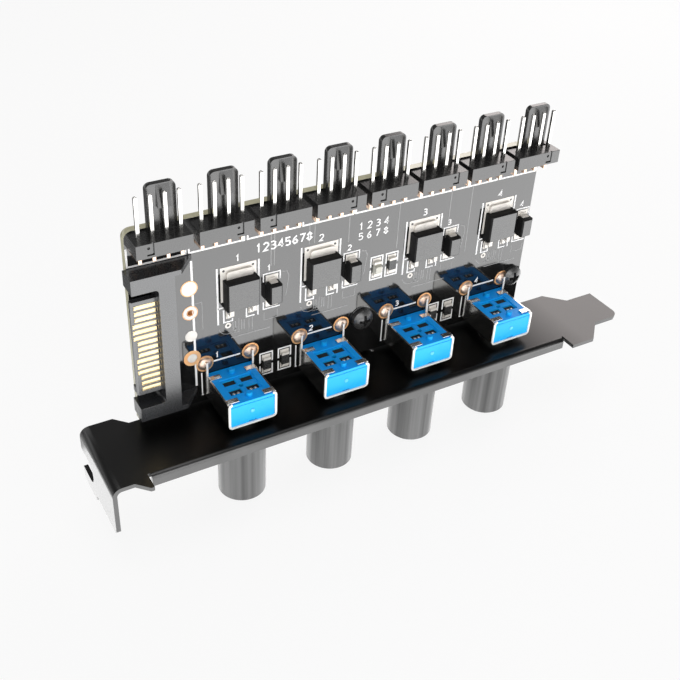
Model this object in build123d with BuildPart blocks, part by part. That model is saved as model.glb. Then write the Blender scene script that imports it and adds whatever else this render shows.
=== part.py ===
from build123d import *
import os

# Fan controller hub: a circuit board with fan headers, a power plug and four dials,
# carried by an expansion-slot bracket. Lengths are millimetres.
# The origin is the centre of the screw notch, on the seating face of the tab.
# +X runs along the bracket to its tongue, +Z into the computer, -Y to the populated side.

os.makedirs("parts", exist_ok=True)

# Bracket, folded from one steel sheet
sheet = 0.86
bracket_length = 120.0
plate_height = 7.0             # inner face of the plate above the screw notch
plate_width = 18.3
tab_width = 18.5
tab_rear = 4.22                # rear edge of the tab behind the notch centre
tab_overhang = 2.43            # tab past the plate's rear edge
tab_fold = 1.0                 # inside radius of the tab's fold
tab_drop_rear = 5.2            # lower edge of the tab below the notch centre
tab_drop_front = 3.8
tab_step = 3.43                # step between the two lower edges, in front of the notch
tab_corner = 0.8
notch_width = 4.6
shoulder_start = 5.64          # start of the slope behind the tab
ear_start = 3.34               # start of the slope in front of the tab
ear_end = 6.24
ear_relief = 0.5
rail_setback = 2.58            # outer face of the folded rail behind the ears
rail_drop = 2.4                # lower edge of the rail below the plate's inner face
rail_fold = 0.15
rail_slit = 0.4
far_ear_length = 5.73
tongue_length = 6.94
tongue_width = 9.74
tongue_inset = 4.54            # tongue behind the plate's front edge
tongue_corner_rear = 0.8
tongue_corner_front = 2.0
lug_width = 6.4                # ears that carry the board's screws
lug_fold = 0.4
relief_radius = 0.45           # bend reliefs beside the lugs
relief_shift = 0.16            # their centres past the lug's edge and behind the board's face

# Circuit board
board_face = 1.07              # populated face, behind the notch centre
board_thickness = 1.6
board_height = 40.69
board_gap = 0.05               # clearance above the fold of the lugs
board_corner = 1.5
board_margin = 0.45            # board past the first header
screw_places = (47.9, 86.2)
screw_height = 9.4
screw_radius = 1.25
screw_clearance = 0.05
screw_head_radius = 2.3
screw_head_height = 1.7
screw_head_rim = 0.8
screw_end = 1.5                # thread past the lug
recess_length = 2.6
recess_width = 0.7
recess_depth = 1.1
test_pad_place = 10.75         # the one open hole in the column of test pads
test_pad_height = 21.66
test_pad_hole = 0.6

# Fan headers
header_count = 8
header_first = 10.44           # left end of the first header
header_pitch = 11.31
header_width = 10.16
header_depth = 4.8
header_height = 2.7
header_drop = 0.32             # top of the headers below the board's top edge
header_overhang = 0.78         # last header past the board's end
pin_count = 4
pin_pitch = 2.54
pin_size = 0.64
pin_setback = 2.4              # pin axis in front of the board
pin_reach = 7.8                # pin tips above the header
pin_leg_drop = 1.8             # leg's axis below the header
pin_tail = 0.6                 # leg past the back of the board
pin_tip = 0.2
pin_clearance = 0.03
lock_width = 5.3               # friction lock behind the pins
lock_offset = 1.1
lock_thickness = 1.1
lock_gap = 0.15
lock_height = 8.7
lock_corner = 1.0
ramp_width = 2.4
ramp_depth = 0.6
ramp_offset = 0.35             # ramp beside the middle of the lock
ramp_top = 0.2                 # top of the ramp below the lock's
ramp_foot = 4.4                # underside of the lock's hook above the header
groove_width = 0.3
groove_depth = 0.3
groove_foot = 1.0
groove_near = 3.05
groove_far = 8.05
near_groove_headers = (1, 3, 5)
dimple_radius = 0.25           # ejector mark beside the groove
dimple_shift = 0.85
dimple_drop = 0.8

# Power plug
plug_left = -1.2
plug_face = 4.06               # front face before the board
plug_share = 0.623             # share of the free height that lies below the plug
plug_height = 30.7
plug_mouth_depth = 4.9
plug_mouth_height = 24.7
plug_mouth_corner = 0.7
plug_bar_width = 3.05
plug_plate = 1.0               # end plates with their gussets
plug_plate_front = 7.96
plug_plate_foot = 11.5
blade_height = 20.3
blade_front = 2.7
blade_thickness = 1.2
blade_setback = 0.05
blade_chamfer = 0.3
blade_key_height = 1.2
blade_key_depth = 1.0
contact_count = 15
contact_pitch = 1.27
contact_width = 0.84
contact_thickness = 0.2
contact_proud = 0.04
contact_clearance = 0.02
contact_group = 3
contact_setbacks = (0.9, 0.37, 0.75, 0.1, 0.53)
tail_first = 1.0               # first row of tails behind the mouth
tail_pitch = 1.2               # second row behind the first

# Dials: potentiometers with their knobs
dial_count = 4
dial_first = 18.0
dial_pitch = 20.3
dial_setback = 5.8             # shaft axis in front of the board
pot_floor = 1.3                # underside of the frame above the plate
pot_top = 6.85                 # top of the plastic body above the plate
pot_board_gap = 0.15
frame_sheet = 0.35
frame_width = 9.9
frame_depth = 11.05
frame_fold = 0.6
clip_length = 2.4
clip_width = 1.2
clip_inset = 1.1               # clips from the frame's ends
clip_round = 0.3
ear_width = 1.0                # soldered ears of the frame
ear_top = 10.1
prong_width = 1.6
prong_short = 0.2              # prong ends inside the board
prong_clearance = 0.05
bushing_radius = 3.5
bushing_drop = 1.4             # end of the bushing below the plate's inner face
bushing_clearance = 0.2
body_clearance = 0.02
body_inset = 0.2               # plastic face behind the frame's edge
body_roof = 1.2
cavity_radius = 4.0
window_width = 2.45
window_depth = 1.5
window_pitch_x = 3.55
window_pitch_y = 2.9
centre_hole_radius = 0.5
panel_width = 6.6              # sunk panel round the windows
panel_depth = 5.2
panel_sink = 0.25
boss_radius = 0.6
boss_height = 0.3
boss_inset = 1.5
seam_drop = 0.6                # seam of the roof below the body's top
seam_height = 0.12
seam_depth = 0.15
gate_mark_radius = 0.45        # moulding mark on the body's front
gate_mark_depth = 0.1
foot_notch_width = 1.6         # notch under the body's front
foot_notch_height = 0.4
foot_notch_depth = 0.3
shaft_radius = 3.0
shaft_clearance = 0.05
shaft_flat = 1.5               # flat from the shaft's axis
shaft_flat_top = -3.0
shaft_tip = -17.0
rotor_radius = 3.7
rotor_gap = 0.1
rotor_height = 1.3
wiper_span = 6.4
wiper_width = 0.9
wiper_sheet = 0.15
wiper_foot = 2.6
track_inner = 2.5
track_outer = 3.9
track_height = 0.3
track_gap_width = 1.6
wiper_gap = 0.1
terminal_pitch = 2.5
terminal_width = 0.8
terminal_thickness = 0.3
terminal_height = 4.2
terminal_tail = 0.6
terminal_clearance = 0.03
knob_radius = 4.85
knob_top = -2.0
knob_bottom = -19.5
knob_bevel = 0.4
knob_recess_radius = 3.6
knob_bore_spare = 0.1

# Parts soldered to the face of the board
transistor_places = (20.6, 37.9, 61.4, 80.0)
transistor_width = 6.6
transistor_bottom = 20.9
transistor_top = 27.0
transistor_thickness = 2.3
transistor_bevel = 0.3
heat_tab_width = 5.3
heat_tab_length = 1.6
heat_tab_thickness = 0.5
heat_tab_corner = 0.6
lead_spread = 2.3
lead_width = 0.8
lead_sheet = 0.5
lead_exit = 1.3                # underside of the leads at the body, above the board
lead_run = 0.7
lead_foot = 1.6
diode_offset = 6.7             # diode beside its transistor
diode_width = 2.6
diode_bottom = 20.0
diode_top = 24.2
diode_thickness = 2.2
diode_bevel = 0.25
diode_lead_width = 1.5
diode_lead_sheet = 0.25
diode_lead_rise = 1.2
diode_lead_foot = 0.7
chip_width = 1.6
chip_length = 3.2
chip_thickness = 0.6
chip_terminal = 0.5
resistor_places = (26.2, 30.25, 65.8, 69.75)
resistor_height = 5.05
upper_resistor_place = 54.1
led_place = 50.55
upper_chip_height = 20.75
led_base = 0.4
led_lens_height = 0.7
led_lens_length = 1.6
led_lens_draft = 10            # degrees

# Solder at the ears of the dials
dome_radius = 1.45
dome_height = 0.9
shoulder_radius = 0.85
shoulder_height = 0.65

# Places worked out from the sizes above
plate_rear = tab_rear - tab_overhang
plate_front = plate_rear - plate_width
tab_front = tab_rear - tab_width
bracket_end = bracket_length - sheet
tongue_root = bracket_end - tongue_length
tongue_front = plate_front + tongue_inset
tongue_rear = tongue_front + tongue_width
ear_slope = tab_front - plate_front
far_ear_end = tongue_root - tongue_inset
far_ear_start = far_ear_end - far_ear_length
rail_face = plate_front + rail_setback
rail_tangent = rail_face + sheet + rail_fold
rail_start = ear_end + ear_relief
rail_end = far_ear_start - rail_slit
relief_half = lug_width / 2 + relief_shift
relief_places = [place + side * relief_half for place in screw_places for side in (-1, 1)]
board_back = board_face + board_thickness
board_bottom = lug_fold + board_gap
board_top = board_bottom + board_height
header_top = board_top - header_drop
header_bottom = header_top - header_height
header_places = [number * header_pitch for number in range(header_count)]
pin_places = [(number - (pin_count - 1) / 2) * pin_pitch for number in range(pin_count)]
pin_leg = header_bottom - pin_leg_drop
board_end = header_places[-1] + header_width - header_overhang
plug_room = pin_leg - pin_size / 2 - plug_height
plug_centre = plug_share * plug_room + plug_height / 2
contact_first = plug_centre - contact_pitch * (contact_count - 1) / 2
contact_places = [contact_first + number * contact_pitch for number in range(contact_count)]
contact_face = blade_front + contact_proud
contact_slot = contact_width + 2 * contact_clearance
tail_slot = contact_thickness + 2 * contact_clearance
plug_bar_left = plug_left + plug_mouth_depth
plug_bar_right = plug_bar_left + plug_bar_width
tail_places = [plug_bar_left + tail_first, plug_bar_left + tail_first + tail_pitch]
dial_places = [dial_first + number * dial_pitch for number in range(dial_count)]
dial_y = board_face - dial_setback
frame_rear = dial_setback - pot_board_gap
frame_front = frame_rear - frame_depth
frame_floor = pot_floor + frame_sheet
wall_place = (frame_width - frame_sheet) / 2
ear_height = ear_top - prong_width / 2
body_width = frame_width - 2 * (frame_sheet + body_clearance)
body_front = frame_front + body_inset
body_depth = frame_rear - body_front
body_middle = (frame_rear + body_front) / 2
ceiling = pot_top - body_roof
track_floor = ceiling - track_height
rotor_floor = frame_floor + rotor_gap
rotor_top = rotor_floor + rotor_height
wiper_top = track_floor - wiper_gap
terminal_places = [-terminal_pitch, 0, terminal_pitch]
diode_places = [place + diode_offset for place in transistor_places]
chip_sites = [(place, resistor_height) for place in resistor_places]
chip_sites.append((upper_resistor_place, upper_chip_height))
led_site = (led_place, upper_chip_height)
chip_body_length = chip_length - 2 * chip_terminal

# Face of the board: x along it from the first header, y up from the plate's inner face
board_plane = Plane(origin=(header_first, board_face, plate_height), x_dir=(1, 0, 0), z_dir=(0, -1, 0))


# Upright section across the board at a place along it: x from the board's face, y up from the plate
def section_plane(place):
    return Plane(origin=(header_first + place, board_face, plate_height), x_dir=(0, 1, 0), z_dir=(1, 0, 0))


# Level plane at a height above the plate, centred on the shaft axis of a dial
def dial_plane(place, height):
    return Plane(origin=(header_first + place, dial_y, plate_height + height))


# Level plane at a height above the plate, measured from the board's face and the first header
def level_plane(height):
    return Plane(origin=(header_first, board_face, plate_height + height))


# Round section with one flat
def flatted_circle(radius, flat):
    with BuildSketch() as section:
        Circle(radius)
        with Locations((0, flat + radius / 2)):
            Rectangle(2 * radius, radius, mode=Mode.SUBTRACT)
    return section.sketch


# Bracket
with BuildPart() as bracket:
    with BuildSketch(Plane.XY.offset(plate_height - sheet)):
        with BuildLine():
            Polyline(
                (tab_fold, tab_front),
                (ear_start, tab_front),
                (ear_start + ear_slope, plate_front),
                (ear_end, plate_front),
                (ear_end, rail_tangent),
                (far_ear_start, rail_tangent),
                (far_ear_start, plate_front),
                (far_ear_end, plate_front),
                (tongue_root, tongue_front),
                (bracket_end, tongue_front),
                (bracket_end, tongue_rear),
                (tongue_root, tongue_rear),
                (tongue_root - (plate_rear - tongue_rear), plate_rear),
                (shoulder_start + tab_overhang, plate_rear),
                (shoulder_start, tab_rear),
                (tab_fold, tab_rear),
                close=True,
            )
        make_face()
        tip = vertices().group_by(Axis.X)[-1].sort_by(Axis.Y)
        fillet(tip[0], tongue_corner_front)
        fillet(tip[-1], tongue_corner_rear)
        with Locations([(header_first + place, dial_y) for place in dial_places]):
            Circle(bushing_radius + bushing_clearance, mode=Mode.SUBTRACT)
        with Locations([(header_first + place, board_face + relief_shift) for place in relief_places]):
            Circle(relief_radius, mode=Mode.SUBTRACT)
    extrude(amount=sheet)

    # Fold and tab with the screw notch
    tab_top = plate_height - sheet - tab_fold
    with BuildSketch(Plane.YZ.offset(tab_fold)):
        with Locations(((tab_rear + tab_front) / 2, plate_height - sheet / 2)):
            Rectangle(tab_width, sheet)
    revolve(axis=Axis((tab_fold, 0, tab_top), (0, -1, 0)), revolution_arc=90)
    with BuildSketch(Plane.YZ.offset(-sheet)):
        with BuildLine():
            Polyline(
                (tab_rear, tab_top),
                (tab_rear, -tab_drop_rear),
                (-tab_step, -tab_drop_rear),
                (-tab_step, -tab_drop_front),
                (tab_front, -tab_drop_front),
                (tab_front, tab_top),
                close=True,
            )
        make_face()
        fillet(vertices().group_by(Axis.Y)[0], tab_corner)
        fillet(vertices().group_by(Axis.X)[0].sort_by(Axis.Y)[0], tab_corner)
        Circle(notch_width / 2, mode=Mode.SUBTRACT)
        with Locations((tab_rear / 2, 0)):
            Rectangle(tab_rear, notch_width, mode=Mode.SUBTRACT)
    extrude(amount=sheet)

    # Rail folded down along the front edge
    rail_middle = (rail_start + rail_end) / 2
    rail_axis_height = plate_height - sheet - rail_fold
    with BuildSketch(Plane.XZ.offset(-rail_tangent)):
        with Locations((rail_middle, plate_height - sheet / 2)):
            Rectangle(rail_end - rail_start, sheet)
    revolve(axis=Axis((0, rail_tangent, rail_axis_height), (1, 0, 0)), revolution_arc=90)
    with BuildSketch(Plane.XY.offset(rail_axis_height)):
        with Locations((rail_middle, rail_face + sheet / 2)):
            Rectangle(rail_end - rail_start, sheet)
    extrude(amount=plate_height - rail_drop - rail_axis_height)

    # Lugs folded up behind the board
    lug_tangent = board_back - lug_fold
    for place in screw_places:
        lug_x = header_first + place
        with BuildSketch(Plane.XY.offset(plate_height - sheet)):
            with Locations((lug_x, (plate_rear + lug_tangent) / 2)):
                Rectangle(lug_width, lug_tangent - plate_rear)
        extrude(amount=sheet)
        with BuildSketch(Plane.XZ.offset(-lug_tangent)):
            with Locations((lug_x, plate_height - sheet / 2)):
                Rectangle(lug_width, sheet)
        revolve(axis=Axis((0, lug_tangent, plate_height + lug_fold), (1, 0, 0)), revolution_arc=90)
        with BuildSketch(board_plane.offset(-board_thickness)):
            with Locations((place, (lug_fold + screw_height) / 2)):
                Rectangle(lug_width, screw_height - lug_fold)
            with Locations((place, screw_height)):
                Circle(lug_width / 2)
                Circle(screw_radius + screw_clearance, mode=Mode.SUBTRACT)
        extrude(amount=-sheet)
bracket.part.label = "bracket"
export_step(bracket.part, "parts/bracket.step")

# Circuit board
with BuildPart() as circuit_board:
    with BuildSketch(board_plane):
        with BuildLine():
            Polyline(
                (-board_margin, board_bottom),
                (board_end, board_bottom),
                (board_end, board_top),
                (-board_margin, board_top),
                close=True,
            )
        make_face()
        fillet(vertices().group_by(Axis.X)[0].sort_by(Axis.Y)[-1], board_corner)
        with Locations([(place, screw_height) for place in screw_places]):
            Circle(screw_radius + screw_clearance, mode=Mode.SUBTRACT)
        with Locations((test_pad_place, test_pad_height)):
            Circle(test_pad_hole, mode=Mode.SUBTRACT)
        pin_hole = pin_size + 2 * pin_clearance
        for header_place in header_places:
            with Locations([(header_place + header_width / 2 + pin, pin_leg) for pin in pin_places]):
                Rectangle(pin_hole, pin_hole, mode=Mode.SUBTRACT)
        for number, height in enumerate(contact_places):
            with Locations((tail_places[number % 2], height)):
                Rectangle(tail_slot, contact_slot, mode=Mode.SUBTRACT)
        for dial_place in dial_places:
            with Locations([(dial_place + side * wall_place, ear_height) for side in (-1, 1)]):
                Rectangle(
                    frame_sheet + 2 * prong_clearance,
                    prong_width + 2 * prong_clearance,
                    mode=Mode.SUBTRACT,
                )
            with Locations([(dial_place + place, terminal_height) for place in terminal_places]):
                Rectangle(
                    terminal_width + 2 * terminal_clearance,
                    terminal_thickness + 2 * terminal_clearance,
                    mode=Mode.SUBTRACT,
                )
    extrude(amount=-board_thickness)
circuit_board.part.label = "circuit_board"
export_step(circuit_board.part, "parts/circuit_board.step")

# Pan-head screws with cross recesses
screw_tip = board_thickness + sheet + screw_end
with BuildPart() as board_screws:
    for place in screw_places:
        with BuildSketch(Plane(origin=(header_first + place, board_face, plate_height + screw_height))):
            with BuildLine():
                crown = TangentArc(
                    (0, -screw_head_height), (screw_head_radius, -screw_head_rim), tangent=(1, 0)
                )
                Polyline(
                    crown @ 1,
                    (screw_head_radius, 0),
                    (screw_radius, 0),
                    (screw_radius, screw_tip),
                    (0, screw_tip),
                    crown @ 0,
                )
            make_face()
        revolve(axis=Axis((header_first + place, board_face, plate_height + screw_height), (0, 1, 0)))
        with BuildSketch(board_plane.offset(screw_head_height)):
            with Locations((place, screw_height)):
                Rectangle(recess_length, recess_width)
                Rectangle(recess_width, recess_length)
        extrude(amount=-recess_depth, mode=Mode.SUBTRACT)
board_screws.part.label = "board_screws"
export_step(board_screws.part, "parts/board_screws.step")

# Fan headers and their pins
for number, place in enumerate(header_places, start=1):
    middle = place + header_width / 2
    lock_middle = middle + lock_offset
    lock_face = -lock_gap - lock_thickness
    with BuildPart() as fan_header:
        with BuildSketch(level_plane(header_bottom)):
            with Locations((middle, -header_depth / 2)):
                Rectangle(header_width, header_depth)
        extrude(amount=header_height)
        with BuildSketch(board_plane.offset(lock_gap)):
            with Locations((lock_middle, header_top + lock_height / 2)):
                Rectangle(lock_width, lock_height)
            fillet(vertices().group_by(Axis.Y)[-1], lock_corner)
        extrude(amount=lock_thickness)
        with BuildSketch(section_plane(lock_middle + ramp_offset)):
            with BuildLine():
                Polyline(
                    (lock_face, header_top + lock_height - ramp_top),
                    (lock_face, header_top + ramp_foot),
                    (lock_face - ramp_depth, header_top + ramp_foot),
                    close=True,
                )
            make_face()
        extrude(amount=ramp_width / 2, both=True)
        groove_place = place + (groove_near if number in near_groove_headers else groove_far)
        with BuildSketch(board_plane.offset(header_depth)):
            with Locations((groove_place, header_top - header_height / 2 + groove_width)):
                Rectangle(groove_width, header_height - 2 * groove_width)
            with Locations((groove_place - groove_foot / 2, header_bottom + 2 * groove_width)):
                Rectangle(groove_foot + groove_width, groove_width)
            with Locations((groove_place - dimple_shift, header_top - dimple_drop)):
                Circle(dimple_radius)
        extrude(amount=-groove_depth, mode=Mode.SUBTRACT)
        with BuildSketch(level_plane(header_bottom)):
            with Locations([(middle + pin, -pin_setback) for pin in pin_places]):
                Rectangle(pin_size + 2 * pin_clearance, pin_size + 2 * pin_clearance)
        extrude(amount=header_height, mode=Mode.SUBTRACT)
    fan_header.part.label = f"fan_header_{number}"
    export_step(fan_header.part, f"parts/fan_header_{number}.step")

    with BuildPart() as fan_pins:
        for pin in pin_places:
            with BuildSketch(section_plane(middle + pin)):
                with BuildLine():
                    Polyline(
                        (-pin_setback - pin_size / 2, header_top + pin_reach),
                        (-pin_setback - pin_size / 2, pin_leg - pin_size / 2),
                        (board_thickness + pin_tail, pin_leg - pin_size / 2),
                        (board_thickness + pin_tail, pin_leg + pin_size / 2),
                        (-pin_setback + pin_size / 2, pin_leg + pin_size / 2),
                        (-pin_setback + pin_size / 2, header_top + pin_reach),
                        close=True,
                    )
                make_face()
            extrude(amount=pin_size / 2, both=True)
        chamfer(fan_pins.faces().group_by(Axis.Z)[-1].edges(), pin_tip)
    fan_pins.part.label = f"fan_pins_{number}"
    export_step(fan_pins.part, f"parts/fan_pins_{number}.step")

# Power plug: moulded housing with a blade in its mouth
with BuildPart() as sata_housing:
    with BuildSketch(board_plane):
        with Locations(((plug_left + plug_bar_right) / 2, plug_centre)):
            Rectangle(plug_bar_right - plug_left, plug_height)
    extrude(amount=plug_face)
    for end in (-1, 1):
        plate_middle = plug_centre + end * (plug_height - plug_plate) / 2
        with BuildSketch(level_plane(plate_middle)):
            with BuildLine():
                Polyline(
                    (plug_left, 0),
                    (plug_left, -plug_face),
                    (plug_plate_front, -plug_face),
                    (plug_plate_foot, 0),
                    close=True,
                )
            make_face()
        extrude(amount=plug_plate / 2, both=True)
    with BuildSketch(board_plane):
        with Locations((plug_left + plug_mouth_depth / 2, plug_centre)):
            Rectangle(plug_mouth_depth, plug_mouth_height)
        fillet(vertices().group_by(Axis.X)[-1], plug_mouth_corner)
    extrude(amount=plug_face, mode=Mode.SUBTRACT)
    blade_tip = plug_left + blade_setback
    blade_rear = blade_front - blade_thickness
    with BuildSketch(level_plane(plug_centre)):
        with BuildLine():
            Polyline(
                (plug_bar_left, -blade_rear),
                (blade_tip + blade_chamfer, -blade_rear),
                (blade_tip, -blade_rear - blade_chamfer),
                (blade_tip, -blade_front + blade_chamfer),
                (blade_tip + blade_chamfer, -blade_front),
                (plug_bar_left, -blade_front),
                close=True,
            )
        make_face()
    extrude(amount=blade_height / 2, both=True)
    with BuildSketch(board_plane.offset(blade_rear)):
        key_height = plug_centre - (blade_height - blade_key_height) / 2
        with Locations(((blade_tip + plug_bar_left) / 2, key_height)):
            Rectangle(plug_bar_left - blade_tip, blade_key_height)
    extrude(amount=-blade_key_depth)
    slot_face = contact_face + contact_clearance
    with BuildSketch(board_plane.offset(slot_face)):
        for number, height in enumerate(contact_places):
            tip = blade_tip + contact_setbacks[number // contact_group]
            slot_end = tail_places[number % 2] + tail_slot / 2
            with Locations(((tip + slot_end) / 2, height)):
                Rectangle(slot_end - tip, contact_slot)
    extrude(amount=-tail_slot, mode=Mode.SUBTRACT)
    with BuildSketch(board_plane):
        for number, height in enumerate(contact_places):
            with Locations((tail_places[number % 2], height)):
                Rectangle(tail_slot, contact_slot)
    extrude(amount=slot_face, mode=Mode.SUBTRACT)
sata_housing.part.label = "sata_housing"
export_step(sata_housing.part, "parts/sata_housing.step")

with BuildPart() as sata_contacts:
    for number, height in enumerate(contact_places):
        tip = blade_tip + contact_setbacks[number // contact_group] + contact_clearance
        tail = tail_places[number % 2]
        with BuildSketch(level_plane(height)):
            with BuildLine():
                Polyline(
                    (tip, -contact_face),
                    (tail + contact_thickness / 2, -contact_face),
                    (tail + contact_thickness / 2, board_thickness + pin_tail),
                    (tail - contact_thickness / 2, board_thickness + pin_tail),
                    (tail - contact_thickness / 2, -contact_face + contact_thickness),
                    (tip, -contact_face + contact_thickness),
                    close=True,
                )
            make_face()
        extrude(amount=contact_width / 2, both=True)
sata_contacts.part.label = "sata_contacts"
export_step(sata_contacts.part, "parts/sata_contacts.step")

# Dials: frame with its bushing, plastic body, shaft with rotor, wiper and knob
for number, place in enumerate(dial_places, start=1):
    with BuildPart() as pot_frame:
        inner_half = frame_width / 2 - frame_sheet
        frame_plane = board_plane.offset(pot_board_gap)
        with BuildSketch(frame_plane):
            with Locations((place, (pot_floor + pot_top) / 2)):
                Rectangle(frame_width, pot_top - pot_floor)
            fillet(vertices().group_by(Axis.Y)[0], frame_fold)
            with Locations((place, (frame_floor + pot_top) / 2)):
                Rectangle(2 * inner_half, pot_top - frame_floor, mode=Mode.SUBTRACT)
        extrude(amount=frame_depth)
        with BuildSketch(dial_plane(place, pot_top)):
            for side in (-1, 1):
                clip_x = side * (frame_width - clip_length) / 2
                for clip_y in (frame_front + clip_inset, frame_rear - clip_inset - ear_width):
                    with Locations((clip_x, clip_y)):
                        Rectangle(clip_length, clip_width)
        extrude(amount=frame_sheet)
        clip_edges = pot_frame.edges().filter_by(Axis.Y).group_by(Axis.Z)[-1].group_by(Axis.X)
        fillet(clip_edges[0] + clip_edges[-1], clip_round)
        for side in (-1, 1):
            with BuildSketch(section_plane(place + side * wall_place)):
                with BuildLine():
                    Polyline(
                        (-pot_board_gap - ear_width, pot_top),
                        (-pot_board_gap, pot_top),
                        (-pot_board_gap, ear_top - prong_width),
                        (board_thickness - prong_short, ear_top - prong_width),
                        (board_thickness - prong_short, ear_top),
                        (-pot_board_gap - ear_width, ear_top),
                        close=True,
                    )
                make_face()
            extrude(amount=frame_sheet / 2, both=True)
        with BuildSketch(dial_plane(place, -bushing_drop)):
            Circle(bushing_radius)
        extrude(amount=bushing_drop + pot_floor)
        with BuildSketch(dial_plane(place, -bushing_drop)):
            Circle(shaft_radius + shaft_clearance)
        extrude(amount=bushing_drop + frame_floor, mode=Mode.SUBTRACT)
    pot_frame.part.label = f"pot_frame_{number}"
    export_step(pot_frame.part, f"parts/pot_frame_{number}.step")

    with BuildPart() as pot_body:
        with BuildSketch(dial_plane(place, frame_floor)):
            with Locations((0, body_middle)):
                Rectangle(body_width, body_depth)
            Circle(cavity_radius, mode=Mode.SUBTRACT)
        extrude(amount=ceiling - frame_floor)
        with BuildSketch(dial_plane(place, ceiling)):
            with Locations((0, body_middle)):
                Rectangle(body_width, body_depth)
            with GridLocations(window_pitch_x, window_pitch_y, 2, 2):
                Rectangle(window_width, window_depth, mode=Mode.SUBTRACT)
            Circle(centre_hole_radius, mode=Mode.SUBTRACT)
        extrude(amount=body_roof)
        with BuildSketch(dial_plane(place, pot_top)):
            Rectangle(panel_width, panel_depth)
        extrude(amount=-panel_sink, mode=Mode.SUBTRACT)
        with BuildSketch(dial_plane(place, pot_top)):
            with Locations((0, body_front + boss_inset), (0, frame_rear - boss_inset)):
                Circle(boss_radius)
        extrude(amount=boss_height)
        with BuildSketch(dial_plane(place, pot_top - seam_drop)):
            with Locations((0, body_front)):
                Rectangle(body_width, 2 * seam_depth)
        extrude(amount=-seam_height, mode=Mode.SUBTRACT)
        front_origin = (header_first + place, dial_y + body_front, plate_height)
        front_plane = Plane(front_origin, x_dir=(1, 0, 0), z_dir=(0, -1, 0))
        with BuildSketch(front_plane):
            with Locations((0, (frame_floor + pot_top) / 2)):
                Circle(gate_mark_radius)
        extrude(amount=-gate_mark_depth, mode=Mode.SUBTRACT)
        with BuildSketch(front_plane):
            with Locations((0, frame_floor + foot_notch_height / 2)):
                Rectangle(foot_notch_width, foot_notch_height)
        extrude(amount=-foot_notch_depth, mode=Mode.SUBTRACT)
    pot_body.part.label = f"pot_body_{number}"
    export_step(pot_body.part, f"parts/pot_body_{number}.step")

    with BuildPart() as pot_shaft:
        with BuildSketch(dial_plane(place, rotor_floor)):
            Circle(rotor_radius)
        extrude(amount=rotor_height)
        with BuildSketch(dial_plane(place, rotor_floor)):
            Circle(shaft_radius)
        extrude(amount=shaft_flat_top - rotor_floor)
        with BuildSketch(dial_plane(place, shaft_flat_top)):
            add(flatted_circle(shaft_radius, shaft_flat))
        extrude(amount=shaft_tip - shaft_flat_top)
    pot_shaft.part.label = f"pot_shaft_{number}"
    export_step(pot_shaft.part, f"parts/pot_shaft_{number}.step")

    with BuildPart() as pot_wiper:
        half_span = wiper_span / 2
        half_foot = wiper_foot / 2
        with BuildSketch(Plane(dial_plane(place, 0).origin, x_dir=(1, 0, 0), z_dir=(0, -1, 0))):
            with BuildLine():
                Polyline(
                    (-half_span, wiper_top),
                    (-half_foot, rotor_top),
                    (half_foot, rotor_top),
                    (half_span, wiper_top),
                    (half_span - wiper_sheet, wiper_top),
                    (half_foot - wiper_sheet, rotor_top + wiper_sheet),
                    (-half_foot + wiper_sheet, rotor_top + wiper_sheet),
                    (-half_span + wiper_sheet, wiper_top),
                    close=True,
                )
            make_face()
        extrude(amount=wiper_width / 2, both=True)
    pot_wiper.part.label = f"pot_wiper_{number}"
    export_step(pot_wiper.part, f"parts/pot_wiper_{number}.step")

    with BuildPart() as knob:
        with BuildSketch(dial_plane(place, knob_bottom)):
            Circle(knob_radius)
        extrude(amount=knob_top - knob_bottom)
        chamfer(knob.faces().sort_by(Axis.Z)[0].edges(), knob_bevel)
        with BuildSketch(dial_plane(place, knob_top)):
            Circle(knob_recess_radius)
        extrude(amount=shaft_flat_top - knob_top, mode=Mode.SUBTRACT)
        with BuildSketch(dial_plane(place, shaft_flat_top)):
            add(flatted_circle(shaft_radius + shaft_clearance, shaft_flat + shaft_clearance))
        extrude(amount=shaft_tip - knob_bore_spare - shaft_flat_top, mode=Mode.SUBTRACT)
    knob.part.label = f"knob_{number}"
    export_step(knob.part, f"parts/knob_{number}.step")

# Resistance tracks under the roofs of the dials
with BuildPart() as pot_tracks:
    for place in dial_places:
        with BuildSketch(dial_plane(place, track_floor)):
            Circle(track_outer)
            Circle(track_inner, mode=Mode.SUBTRACT)
            with Locations((0, track_outer / 2)):
                Rectangle(track_gap_width, track_outer, mode=Mode.SUBTRACT)
        extrude(amount=track_height)
pot_tracks.part.label = "pot_tracks"
export_step(pot_tracks.part, "parts/pot_tracks.step")

# Terminals from the dials into the board
with BuildPart() as pot_terminals:
    for dial_place in dial_places:
        with BuildSketch(board_plane.offset(pot_board_gap)):
            with Locations([(dial_place + place, terminal_height) for place in terminal_places]):
                Rectangle(terminal_width, terminal_thickness)
        extrude(amount=-(pot_board_gap + board_thickness + terminal_tail))
pot_terminals.part.label = "pot_terminals"
export_step(pot_terminals.part, "parts/pot_terminals.step")

# Solder domes round the ears of the dials
with BuildPart() as solder_joints:
    for dial_place in dial_places:
        for side in (-1, 1):
            joint_x = header_first + dial_place + side * wall_place
            joint_z = plate_height + ear_height
            with BuildSketch(Plane(origin=(joint_x, board_face, joint_z))):
                with BuildLine():
                    Polyline(
                        (0, -dome_height),
                        (shoulder_radius, -shoulder_height),
                        (dome_radius, 0),
                        (0, 0),
                        close=True,
                    )
                make_face()
            revolve(axis=Axis((joint_x, board_face, joint_z), (0, 1, 0)))
            with BuildSketch(board_plane):
                with Locations((dial_place + side * wall_place, ear_height)):
                    Rectangle(frame_sheet + 2 * prong_clearance, 2 * dome_radius)
            extrude(amount=dome_height, mode=Mode.SUBTRACT)
    with BuildSketch(board_plane):
        with Locations([(place, screw_height) for place in screw_places]):
            Circle(screw_head_radius + screw_clearance)
    extrude(amount=dome_height, mode=Mode.SUBTRACT)
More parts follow.
